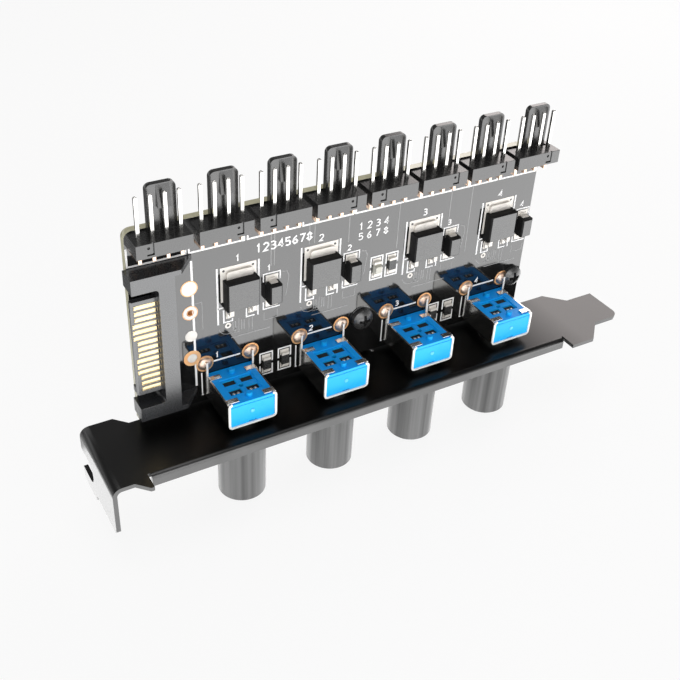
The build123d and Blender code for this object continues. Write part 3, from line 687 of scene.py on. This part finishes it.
def print_board():
    mesh = bmesh.new()
    for left in header_lefts:
        draw(mesh, left, HEADER_PRINT, INK_RISE, PRINT_END)
    draw(mesh, 0.0, PLUG_PRINT, INK_RISE, PRINT_END)
    print_parts(mesh, transistors, TRANSISTOR_PRINT, TRANSISTOR_NUMBER)
    print_parts(mesh, diodes, DIODE_PRINT, DIODE_NUMBER)
    for x, z in CHIPS:
        left, right = x - CHIP_PRINT_HALF, x + CHIP_PRINT_HALF
        for way in (-1, 1):
            near, far = z + way * CHIP_PRINT_NEAR, z + way * CHIP_PRINT_FAR
            band(mesh, [(left, near), (left, far), (right, far), (right, near)], CHIP_PRINT_LINE, INK_RISE)
    print_parts(mesh, dial_axes, DIAL_PRINT, DIAL_NUMBER)
    for number in HEADERS:
        digit(mesh, number, ROW_LEFT + ROW_STEP * number, ROW_UP, ROW_HEIGHT, ROW_LINE)
    for row, numbers in enumerate(GRID_NUMBERS):
        for step, number in enumerate(numbers):
            digit(mesh, number, GRID_LEFT + GRID_STEP * step, GRID_UP - GRID_DROP * row, GRID_HEIGHT)
    return add_piece("board_printing", mesh, ink)


# Tinned pads below the parts, as left, low, right and high, and round test pads, as height and radius
TRANSISTOR_PADS = (
    (-3.75, 22.1, 3.5, 29.5),
    (-LEAD_SPREAD - 0.5, 18.3, -LEAD_SPREAD + 0.5, 19.9),
    (LEAD_SPREAD - 0.5, 18.3, LEAD_SPREAD + 0.5, 19.9),
)
DIODE_PADS = ((-1.3, 23.6, 1.3, 25.5), (-1.3, 18.5, 1.3, 20.4))
CHIP_PAD_HALF, CHIP_PAD_NEAR, CHIP_PAD_FAR = 0.95, 0.95, 2.2
TEST_PADS = ((26.9, 1.5), (16.5, 1.2), (11.4, 1.0))
OPEN_PAD = (PAD_COLUMN, 21.66)
OPEN_PAD_RING = (1.4, 0.66)
VIA_PLACE = (-2.4, 16.6)
VIA_RING = (0.62, 0.26)


def part_pads(mesh, axes, pads):
    for x in axes:
        for left, low, right, high in pads:
            prism(mesh, rectangle(x + left, low, x + right, high), PAD_RISE)


def tin_pads():
    mesh = bmesh.new()
    part_pads(mesh, transistors, TRANSISTOR_PADS)
    part_pads(mesh, diodes, DIODE_PADS)
    for x, z in CHIPS:
        for way in (-1, 1):
            low, high = sorted((z + way * CHIP_PAD_NEAR, z + way * CHIP_PAD_FAR))
            prism(mesh, rectangle(x - CHIP_PAD_HALF, low, x + CHIP_PAD_HALF, high), PAD_RISE)
    for height, radius in TEST_PADS:
        prism(mesh, circle((PAD_COLUMN, height), radius), PAD_RISE)
    ring(mesh, OPEN_PAD, *OPEN_PAD_RING, PAD_RISE)
    for x in transistors:
        ring(mesh, (x + VIA_PLACE[0], VIA_PLACE[1]), *VIA_RING, PAD_RISE)
    return add_piece("tin_pads", mesh, pad_tin)


# Bare copper: rims of the test pads as height, outer and inner radius, and rings round the ears
COPPER_RIMS = ((26.9, 1.64, 1.46), (OPEN_PAD[1], 1.5, 1.36), (OPEN_PAD[1], 0.72, 0.61), (11.4, 1.72, 0.95))
EAR_RING = (1.8, 1.3)
BARREL_RADIUS, BARREL_WALL = 0.59, 0.1


def copper_rings():
    mesh = bmesh.new()
    for height, outer, inner in COPPER_RIMS:
        ring(mesh, (PAD_COLUMN, height), outer, inner, PAD_RISE)
    for place in ears:
        ring(mesh, place, *EAR_RING, PAD_RISE + OVERLAP)
    band(mesh, circle(OPEN_PAD, BARREL_RADIUS), BARREL_WALL, PAD_RISE, closed=True, foot=-BARREL)
    return add_piece("copper_rings", mesh, copper)


# Open vias, with dark discs in the middle as painted shade for the holes
VIA_HOLE = 0.28
VIA_HOLE_RISE = PAD_RISE * 0.6
TAB_VIAS = ((-3.1, 28.8), (2.8, 28.8))
TAB_VIA_HOLE = 0.26
VIA_SIDES = 12


def via_holes():
    mesh = bmesh.new()
    for x in transistors:
        prism(mesh, circle((x + VIA_PLACE[0], VIA_PLACE[1]), VIA_HOLE, VIA_SIDES), VIA_HOLE_RISE)
        for across, up in TAB_VIAS:
            prism(mesh, circle((x + across, up), TAB_VIA_HOLE, VIA_SIDES), PAD_RISE + OVERLAP)
    return add_piece("via_holes", mesh, glaze_and_hole_shade)


# Copper traces under the solder mask: from the headers as place and lower end, and below the parts
PLUG_TRACES = ((0.14, ((11.8, 23.4), (13.1, 23.4), (13.1, 17.4))),)
HEADER_TRACE_TOP = 34.0
HEADER_TRACE_WIDTH = 0.2
HEADER_TRACES = ((27.1, 27.4), (27.8, 27.4), (35.1, 30.0), (36.2, 30.0), (43.7, 28.4), (55.0, 24.2),
                 (67.2, 25.6), (72.4, 19.0))
VIA_CURL = (1.9, 190.0, 150.0, 12)
VIA_CURL_WIDTH = 0.14
TRANSISTOR_TRACES = (
    (0.14, ((-0.2, 17.6), (-0.2, 14.6), (-1.6, 14.6))),
    (0.16, ((1.9, 17.2), (1.9, 14.2))),
    (0.16, ((2.6, 17.2), (2.6, 14.2))),
    (0.2, ((-1.4, 17.2), (-1.4, 14.9))),
    (0.2, ((-0.9, 17.2), (-0.9, 14.9))),
    (0.2, ((0.4, 17.2), (0.4, 14.9))),
    (0.2, ((0.9, 17.2), (0.9, 14.9))),
    (0.22, ((-1.8, 13.6), (6.4, 13.6))),
)
DIODE_CURL = ((0.16, ((2.2, 25.6), (3.2, 25.4), (3.6, 24.4), (3.4, 22.6), (3.0, 20.0))),)
DIODE_CURL_REACH = 3.7
DIODE_TRACES = ((0.14, ((-1.6, 17.4), (-1.6, 15.6), (1.2, 15.6), (1.2, 17.4))),)
SCREW_CURL = (2.75, 50.0, 90.0, 12)
SCREW_CURL_WIDTH = 0.24


def face_traces():
    mesh = bmesh.new()
    draw(mesh, 0.0, PLUG_TRACES, TRACE_RISE, TRACE_END)
    for x, low in HEADER_TRACES:
        band(mesh, [(x, HEADER_TRACE_TOP), (x, low)], HEADER_TRACE_WIDTH, TRACE_RISE)
    for x in transistors:
        band(mesh, arc((x + VIA_PLACE[0], VIA_PLACE[1]), *VIA_CURL), VIA_CURL_WIDTH, TRACE_RISE)
        draw(mesh, x, TRANSISTOR_TRACES, TRACE_RISE, TRACE_END)
    for x in diodes:
        if x + DIODE_CURL_REACH < TRACE_END:
            draw(mesh, x, DIODE_CURL, TRACE_RISE, TRACE_END)
        draw(mesh, x, DIODE_TRACES, TRACE_RISE, TRACE_END)
    band(mesh, arc(SCREWS[0], *SCREW_CURL), SCREW_CURL_WIDTH, TRACE_RISE)
    return add_piece("face_traces", mesh, covered_copper)


# Solder domes round the ears of the dials, as radius and rise
EAR_DOME = ((1.5, -SINK), (1.46, 0.12), (1.25, 0.36), (0.95, 0.52), (0.5, 0.62), (0.0, 0.65))
EAR_DOME_SIDES = 24


def ear_solder():
    mesh = bmesh.new()
    for place in ears:
        lathe(mesh, on_board(*place), EAR_DOME, EAR_DOME_SIDES)
    piece = add_piece("ear_solder", mesh, solder, smooth=True)
    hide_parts("solder_joints")


# Solder cones on the back, except where a lug lies against the board
TAILS = [(4.7 + 1.2 * (number % 2), 18.65 + 1.27 * (number - 7)) for number in range(15)]
TERMINALS = [(axis + shift, 4.2) for axis in dial_axes for shift in (-2.5, 0.0, 2.5)]
LUG_REACH = 4.7
PIN_CONE = ((0.95, -SINK), (0.92, 0.08), (0.66, 0.3), (0.5, 0.52), (0.0, 0.56))
TAIL_CONE = ((0.74, -SINK), (0.72, 0.08), (0.56, 0.34), (0.44, 0.52), (0.0, 0.56))
EAR_CONE = ((1.45, -SINK), (1.4, 0.1), (1.0, 0.3), (0.5, 0.38), (0.0, 0.4))
CONE_SIDES, EAR_CONE_SIDES = 14, 18


# Spot on the back for a cone that ends flush at the board's edge
def on_back(x, z):
    return lambda across, up, rise: board_point(min(x + across, SOLDER_END), z + up, rise, True)


def back_solder():
    mesh = bmesh.new()
    pins = [(left + HEADER_WIDTH / 2 + pin, PIN_LEG) for left in header_lefts for pin in PIN_PLACES]
    for place in pins + TERMINALS:
        lathe(mesh, on_back(*place), PIN_CONE, CONE_SIDES)
    for place in TAILS:
        lathe(mesh, on_back(*place), TAIL_CONE, CONE_SIDES)
    for x, z in ears:
        if min(abs(x - screw[0]) for screw in SCREWS) > LUG_REACH:
            lathe(mesh, on_back(x, z), EAR_CONE, EAR_CONE_SIDES)
    return add_piece("back_solder", mesh, solder, smooth=True)


# Traces on the back, from the header pins to two long rails and from the transistors
BACK_TRACE_TOP = 35.0
BACK_TRACES = ((0, 0.9, 32.4), (1, 0.9, 29.4))
SENSE_WIDTH, SENSE_LOW, SENSE_STAGGER = 0.4, 26.0, 0.8
RAIL_HEIGHTS = (31.9, 28.9)
RAIL_LEFT, RAIL_RIGHT = 8.2, board_right - 2.0
RAIL_WIDTH = 1.2
RAIL_RISE = 1.3 * TRACE_RISE
CROSS_RISE = 1.6 * TRACE_RISE
CROSS_TRACES = (
    (0.5, ((-2.4, 25.6), (-2.4, 16.6), (-4.2, 13.0), (-4.2, 5.4))),
    (0.8, ((3.4, 28.3), (3.4, 20.0), (1.2, 16.0))),
)
HEAT_PATCH = (-1.6, 20.5, 2.2, 27.2)
HEAT_PATCH_RISE = 0.7 * TRACE_RISE


def back_traces():
    mesh = bmesh.new()
    for number, left in enumerate(header_lefts):
        middle = left + HEADER_WIDTH / 2
        sense = (2, SENSE_WIDTH, SENSE_LOW - SENSE_STAGGER * (number % 2))
        for pin, width, low in (*BACK_TRACES, sense):
            x = middle + PIN_PLACES[pin]
            band(mesh, [(x, BACK_TRACE_TOP), (x, low)], width, TRACE_RISE, back=True)
    for height in RAIL_HEIGHTS:
        band(mesh, [(RAIL_LEFT, height), (RAIL_RIGHT, height)], RAIL_WIDTH, RAIL_RISE, back=True)
    left, low, right, high = HEAT_PATCH
    for x in transistors:
        draw(mesh, x, CROSS_TRACES, CROSS_RISE, TRACE_END, back=True)
        prism(mesh, rectangle(x + left, low, x + right, high), HEAT_PATCH_RISE, back=True)
    return add_piece("back_traces", mesh, covered_copper)


# Dials: across and back from the axis, up from the plate
DIAL_ROOF = 6.85
WINDOW_ACROSS, WINDOW_BACK = 1.775, 1.45
WINDOW_HALF = (1.2, 0.73)
WINDOW_SHADE_SHEET = (5.7, 6.3)
TOOTH_PROFILE = ((0.34, -0.1), (0.34, 0.12), (0.2, 0.24), (0.0, 0.28))
TOOTH_ACROSS, TOOTH_BACK = 0.45, -0.32
POST_BACK = (-3.7, 4.15)
POST_PROFILE = ((0.62, -0.05), (0.62, 0.7), (0.54, 0.8), (0.0, 0.8))
RIM_HALF, RIM_LOW, RIM_HIGH = 4.775, 1.475, 7.05
RIM_CORNER = 0.6
RIM_WIDTH = 0.42
RIM_FRONT, RIM_BACK = 0.03, 0.25


def on_dial(number, across=0.0, back=0.0):
    low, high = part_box(f"knob_{number}")
    axis = (low + high) / 2

    def spot(x, y, up):
        return Vector((axis.x + (across + x) * MM, axis.y + (back + y) * MM, plate_level + up * MM))

    return spot


# Painted shade: a dark sheet below the windows in the roof
def window_shade_sheets():
    mesh = bmesh.new()
    for number in DIALS:
        for across in (-WINDOW_ACROSS, WINDOW_ACROSS):
            for back in (-WINDOW_BACK, WINDOW_BACK):
                outline = rectangle(-WINDOW_HALF[0], -WINDOW_HALF[1], *WINDOW_HALF)
                slab(mesh, on_dial(number, across, back), outline, *WINDOW_SHADE_SHEET)
    return add_piece("window_shade_sheets", mesh, carbon_and_shade)


# Contact teeth that show in the front windows
def window_teeth():
    mesh = bmesh.new()
    profile = [(radius, WINDOW_SHADE_SHEET[1] + rise) for radius, rise in TOOTH_PROFILE]
    for number in DIALS:
        for across in (-WINDOW_ACROSS, WINDOW_ACROSS):
            for step in (-TOOTH_ACROSS, TOOTH_ACROSS):
                lathe(mesh, on_dial(number, across + step, TOOTH_BACK - WINDOW_BACK), profile, 12)
    return add_piece("window_teeth", mesh, tin, smooth=True)


# Blue posts on the roof, in front of and behind the windows
def roof_posts():
    mesh = bmesh.new()
    profile = [(radius, DIAL_ROOF + rise) for radius, rise in POST_PROFILE]
    for number in DIALS:
        for back in POST_BACK:
            lathe(mesh, on_dial(number, 0.0, back), profile, 20)
    return add_piece("roof_posts", mesh, blue)


# Painted highlights: bright bands round the front of each frame and on its ears
EAR_EDGE = (6.95, 10.12)
EAR_REACH = 1.15
EAR_SHEET = 0.37
EAR_FRONT, EAR_BACK = 0.02, 0.1


def frame_rim_glints():
    mesh = bmesh.new()
    side = RIM_HALF - RIM_CORNER
    low, high = RIM_LOW + RIM_CORNER, RIM_HIGH - RIM_CORNER
    corners = ((-side, high, 90.0), (-side, low, 180.0), (side, low, 270.0), (side, high, 0.0))
    for number, axis in zip(DIALS, dial_axes):
        depth = (board_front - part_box(f"pot_frame_{number}")[0].y) / MM
        outline = []
        for across, up, start in corners:
            outline += arc((axis + across, up), RIM_CORNER, start, 90.0, 7)
        band(mesh, outline, RIM_WIDTH, depth + RIM_FRONT, foot=depth - RIM_BACK)
    for x, _ in ears:
        edge = [(x, height) for height in EAR_EDGE]
        band(mesh, edge, EAR_SHEET, EAR_REACH + EAR_FRONT, foot=EAR_REACH - EAR_BACK)
    return add_piece("frame_rim_glints", mesh, painted_edge_glint)


# Painted highlight: a bright ring round the bend relief in the plate, beside each lug
RELIEF_SPREAD = 3.36
RELIEF_BACK = 0.16
RELIEF_RADIUS = 0.45
RELIEF_GLINT_LIP = (0.16, 0.05)
RELIEF_WALL = (0.04, 0.02)
RELIEF_DEPTH = 0.5


def relief_glints():
    mesh = bmesh.new()
    glint_lip, rise = RELIEF_GLINT_LIP
    inner, wall, outer = (RELIEF_RADIUS + shift for shift in (-RELIEF_WALL[0], RELIEF_WALL[1], glint_lip))
    rims = ((inner, -RELIEF_DEPTH), (inner, rise), (outer, rise), (outer, -SINK), (wall, -RELIEF_DEPTH))
    for place, _ in SCREWS:
        centre = board_point(place - RELIEF_SPREAD, 0.0, -RELIEF_BACK)
        loops = []
        for radius, up in rims:
            outline = circle((0.0, 0.0), radius)
            loops.append([mesh.verts.new(centre + Vector((x, y, up)) * MM) for x, y in outline])
        for first, second in zip(loops, loops[1:] + loops[:1]):
            for step in range(len(first)):
                mesh.faces.new((first[step - 1], first[step], second[step], second[step - 1]))
    return add_piece("relief_glints", mesh, painted_edge_glint)


# Crowned faces of the plug's contacts, pointed at the mouth
PLUG_TIP = -1.13
PLUG_BAR = 3.65
CONTACT_SETBACKS = (0.9, 0.37, 0.75, 0.1, 0.53)
CONTACT_SECTION = ((-0.56, -0.16), (-0.24, 0.05), (-0.1, 0.07), (0.2, 0.07), (0.42, 0.02), (0.52, -0.1))
CONTACT_POINT = 0.35
CONTACT_POINT_SHARE = 0.3
CONTACT_END = 0.45
CONTACTS_IN_GROUP = 3
contact_front = (board_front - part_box("sata_contacts")[0].y) / MM


def contact_faces():
    mesh = bmesh.new()
    for number, (_, height) in enumerate(TAILS):
        tip = PLUG_TIP + CONTACT_SETBACKS[number // CONTACTS_IN_GROUP]
        rims = []
        stations = ((tip, CONTACT_POINT_SHARE), (tip + CONTACT_POINT, 1.0), (PLUG_BAR - CONTACT_END, 1.0))
        for x, share in stations:
            rims.append([mesh.verts.new(board_point(x, height + share * up, contact_front + rise))
                         for up, rise in CONTACT_SECTION])
        for first, second in zip(rims, rims[1:]):
            for step in range(len(CONTACT_SECTION)):
                mesh.faces.new((first[step - 1], first[step], second[step], second[step - 1]))
        mesh.faces.new(rims[0])
        mesh.faces.new(rims[-1])
    return add_piece("contact_faces", mesh, gold)


# Painted shade: dark patches at the ends of the slots that the contacts leave through
SLOT_REACH = (-0.32, -0.02)
SLOT_HALF = 0.36
SLOT_DEPTH = (-0.02, 0.05)


def contact_slot_shade():
    mesh = bmesh.new()
    left, right = (PLUG_BAR + reach for reach in SLOT_REACH)
    low, high = (contact_front + depth for depth in SLOT_DEPTH)
    for _, height in TAILS:
        outline = rectangle(left, height - SLOT_HALF, right, height + SLOT_HALF)
        slab(mesh, on_board(0.0, 0.0), outline, low, high)
    return add_piece("contact_slot_shade", mesh, carbon_and_shade)


# Glossy faces of the chips, inside their bevels
CHIP_BEVEL = 0.27
CHIP_FACE_DEPTH, CHIP_FACE_RISE = 0.05, 0.015


def chip_faces():
    mesh = bmesh.new()
    for number in DIALS:
        for node in (f"transistor_{number}", f"diode_{number}"):
            low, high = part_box(node)
            x, z = board_place(node)
            half = (high - low) / (2 * MM)
            front = (board_front - low.y) / MM
            wide, tall = half.x - CHIP_BEVEL, half.z - CHIP_BEVEL
            outline = rectangle(-wide, -tall, wide, tall)
            slab(mesh, on_board(x, z), outline, front - CHIP_FACE_DEPTH, front + CHIP_FACE_RISE)
    return add_piece("chip_faces", mesh, chip)


# Round mould mark on the front of each dial
GATE_HEIGHT = 4.2
GATE_PROFILE = ((0.42, -0.05), (0.42, 0.03), (0.3, 0.07), (0.0, 0.08))


def gate_marks():
    mesh = bmesh.new()
    for number, axis in zip(DIALS, dial_axes):
        front = (board_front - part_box(f"pot_body_{number}")[0].y) / MM
        lathe(mesh, on_board(axis, GATE_HEIGHT), [(radius, front + rise) for radius, rise in GATE_PROFILE])
    return add_piece("gate_marks", mesh, pale_blue, smooth=True)


print_board()
tin_pads()
copper_rings()
via_holes()
face_traces()
ear_solder()
back_solder()
back_traces()
window_shade_sheets()
window_teeth()
roof_posts()
frame_rim_glints()
relief_glints()
contact_faces()
contact_slot_shade()
chip_faces()
gate_marks()


# Camera at the photograph's viewpoint
CAMERA_PLACE = (-33.17, -139.06, 131.39)
CAMERA_RIGHT = (0.872, -0.4879, 0.0401)
CAMERA_UP = (0.253, 0.5192, 0.8164)
CAMERA_FORWARD = (0.4191, 0.7017, -0.5762)
SENSOR_WIDTH = 36.0
LENS = 52.5
LENS_SHIFT = (0.0175, -0.0181)
NEAREST = 5.0


def add_camera():
    data = bpy.data.cameras.new("camera")
    data.sensor_width = SENSOR_WIDTH
    data.lens = LENS
    data.shift_x, data.shift_y = LENS_SHIFT
    data.clip_start = NEAREST * MM
    camera = bpy.data.objects.new("camera", data)
    bpy.context.scene.collection.objects.link(camera)
    backward = [-part for part in CAMERA_FORWARD]
    turn = Matrix((CAMERA_RIGHT, CAMERA_UP, backward)).transposed()
    camera.matrix_world = Matrix.Translation(Vector(CAMERA_PLACE) * MM) @ turn.to_4x4()
    bpy.context.scene.camera = camera


# Soft lamps: place and target in millimetres, size in millimetres, power in watts
def add_lamp(name, place, target, size, power, colour=(1.0, 1.0, 1.0)):
    data = bpy.data.lights.new(name, "AREA")
    data.shape = "RECTANGLE"
    data.size, data.size_y = size[0] * MM, size[1] * MM
    data.energy = power
    data.color = colour
    lamp = bpy.data.objects.new(name, data)
    bpy.context.scene.collection.objects.link(lamp)
    lamp.location = Vector(place) * MM
    aim = (Vector(target) - Vector(place)).normalized()
    lamp.rotation_euler = aim.to_track_quat("-Z", "Y").to_euler()
    lamp.visible_camera = False


# A light table under the part, a soft box behind its tongue and weak soft lamps above
TABLE_GAP = 0.2
TABLE_CENTRE = (55.0, -145.0)
WARM = (1.0, 0.93, 0.91)
MIDDLE = (55.0, -5.0, 20.0)
TONGUE = (115.0, -7.0, 7.0)


def add_lamps():
    table_level = cad_box[0][2] / MM + TABLE_GAP
    table = (*TABLE_CENTRE, table_level)
    above_table = (*TABLE_CENTRE, table_level + 100.0)
    add_lamp("light_table", table, above_table, (620.0, 330.0), 1.213)
    add_lamp("tongue_lamp", (367.0, 217.0, 226.0), TONGUE, (250.0, 250.0), 0.55, WARM)
    add_lamp("front_lamp", (-40.0, -440.0, 150.0), MIDDLE, (420.0, 220.0), 0.9)
    add_lamp("top_lamp", (60.0, -60.0, 560.0), MIDDLE, (420.0, 420.0), 1.0)


# One for the rays named, else zero
def any_ray(tree, names):
    path = tree.nodes.new("ShaderNodeLightPath")
    seen = path.outputs[names[0]]
    for name in names[1:]:
        seen = calculate(tree, "MAXIMUM", seen, path.outputs[name])
    return seen


def blend_values(tree, factor, first, second):
    node = tree.nodes.new("ShaderNodeMix")
    for name, value in (("Factor", factor), ("A", first), ("B", second)):
        feed(tree, value, node.inputs[name])
    return node.outputs["Result"]


# White for the camera; mirrored rays see a white backdrop with a dimmer room above it
WORLD_LEVEL = 0.3
ROOM_LEVEL = 0.13
BACKDROP_TOP = (0.1, 0.35)     # height at which the white backdrop ends, as a share of straight up


def add_world():
    world = bpy.data.worlds.new("studio")
    world.use_nodes = True
    bpy.context.scene.world = world
    tree = world.node_tree
    background = tree.nodes["Background"]
    background.inputs["Color"].default_value = (1.0, 1.0, 1.0, 1.0)
    room = change_over(tree, coordinate(tree, "Generated")["Z"], BACKDROP_TOP, (1.0, ROOM_LEVEL))
    mirrored = any_ray(tree, ("Is Glossy Ray", "Is Transmission Ray"))
    level = blend_values(tree, mirrored, WORLD_LEVEL, room)
    level = blend_values(tree, any_ray(tree, ("Is Camera Ray",)), level, 1.0)
    tree.links.new(level, background.inputs["Strength"])


# Pale floor: mostly plain white where it is seen, with a share that keeps the shadow
FLOOR_HALF = 900.0
FLOOR_COLOUR = (0.85, 0.85, 0.85, 1.0)
FLOOR_SHADOW_SHARE = 0.12
FLOOR_DIM = (30.0, 70.0)       # the floor is dimmer in mirrors from here on, behind the board
FLOOR_DIM_LEVEL = 0.15


def add_floor():
    half = FLOOR_HALF * MM
    level = cad_box[0][2]
    mesh = bpy.data.meshes.new("floor")
    corners = [(-half, -half, level), (half, -half, level), (half, half, level), (-half, half, level)]
    mesh.from_pydata(corners, [], [(0, 1, 2, 3)])
    floor = bpy.data.objects.new("floor", mesh)
    bpy.context.scene.collection.objects.link(floor)
    material = bpy.data.materials.new("pale_floor")
    material.use_nodes = True
    tree = material.node_tree
    tree.nodes.remove(tree.nodes["Principled BSDF"])
    output = tree.nodes["Material Output"]
    diffuse = tree.nodes.new("ShaderNodeBsdfDiffuse")
    diffuse.inputs["Color"].default_value = FLOOR_COLOUR
    far = [distance * MM for distance in FLOOR_DIM]
    mirrored_level = change_over(tree, coordinate(tree, "Object")["Y"], far, (1.0, FLOOR_DIM_LEVEL))
    glow = tree.nodes.new("ShaderNodeEmission")
    camera_ray = any_ray(tree, ("Is Camera Ray",))
    tree.links.new(blend_values(tree, camera_ray, mirrored_level, 1.0), glow.inputs["Strength"])
    seen = any_ray(tree, ("Is Camera Ray", "Is Glossy Ray", "Is Transmission Ray"))
    mix = tree.nodes.new("ShaderNodeMixShader")
    plain_share = change_over(tree, seen, (0.0, 1.0), (0.0, 1.0 - FLOOR_SHADOW_SHARE))
    tree.links.new(plain_share, mix.inputs["Fac"])
    tree.links.new(diffuse.outputs["BSDF"], mix.inputs[1])
    tree.links.new(glow.outputs["Emission"], mix.inputs[2])
    tree.links.new(mix.outputs["Shader"], output.inputs["Surface"])
    mesh.materials.append(material)


add_camera()
add_lamps()
add_world()
add_floor()
bpy.context.scene.view_settings.view_transform = "Standard"
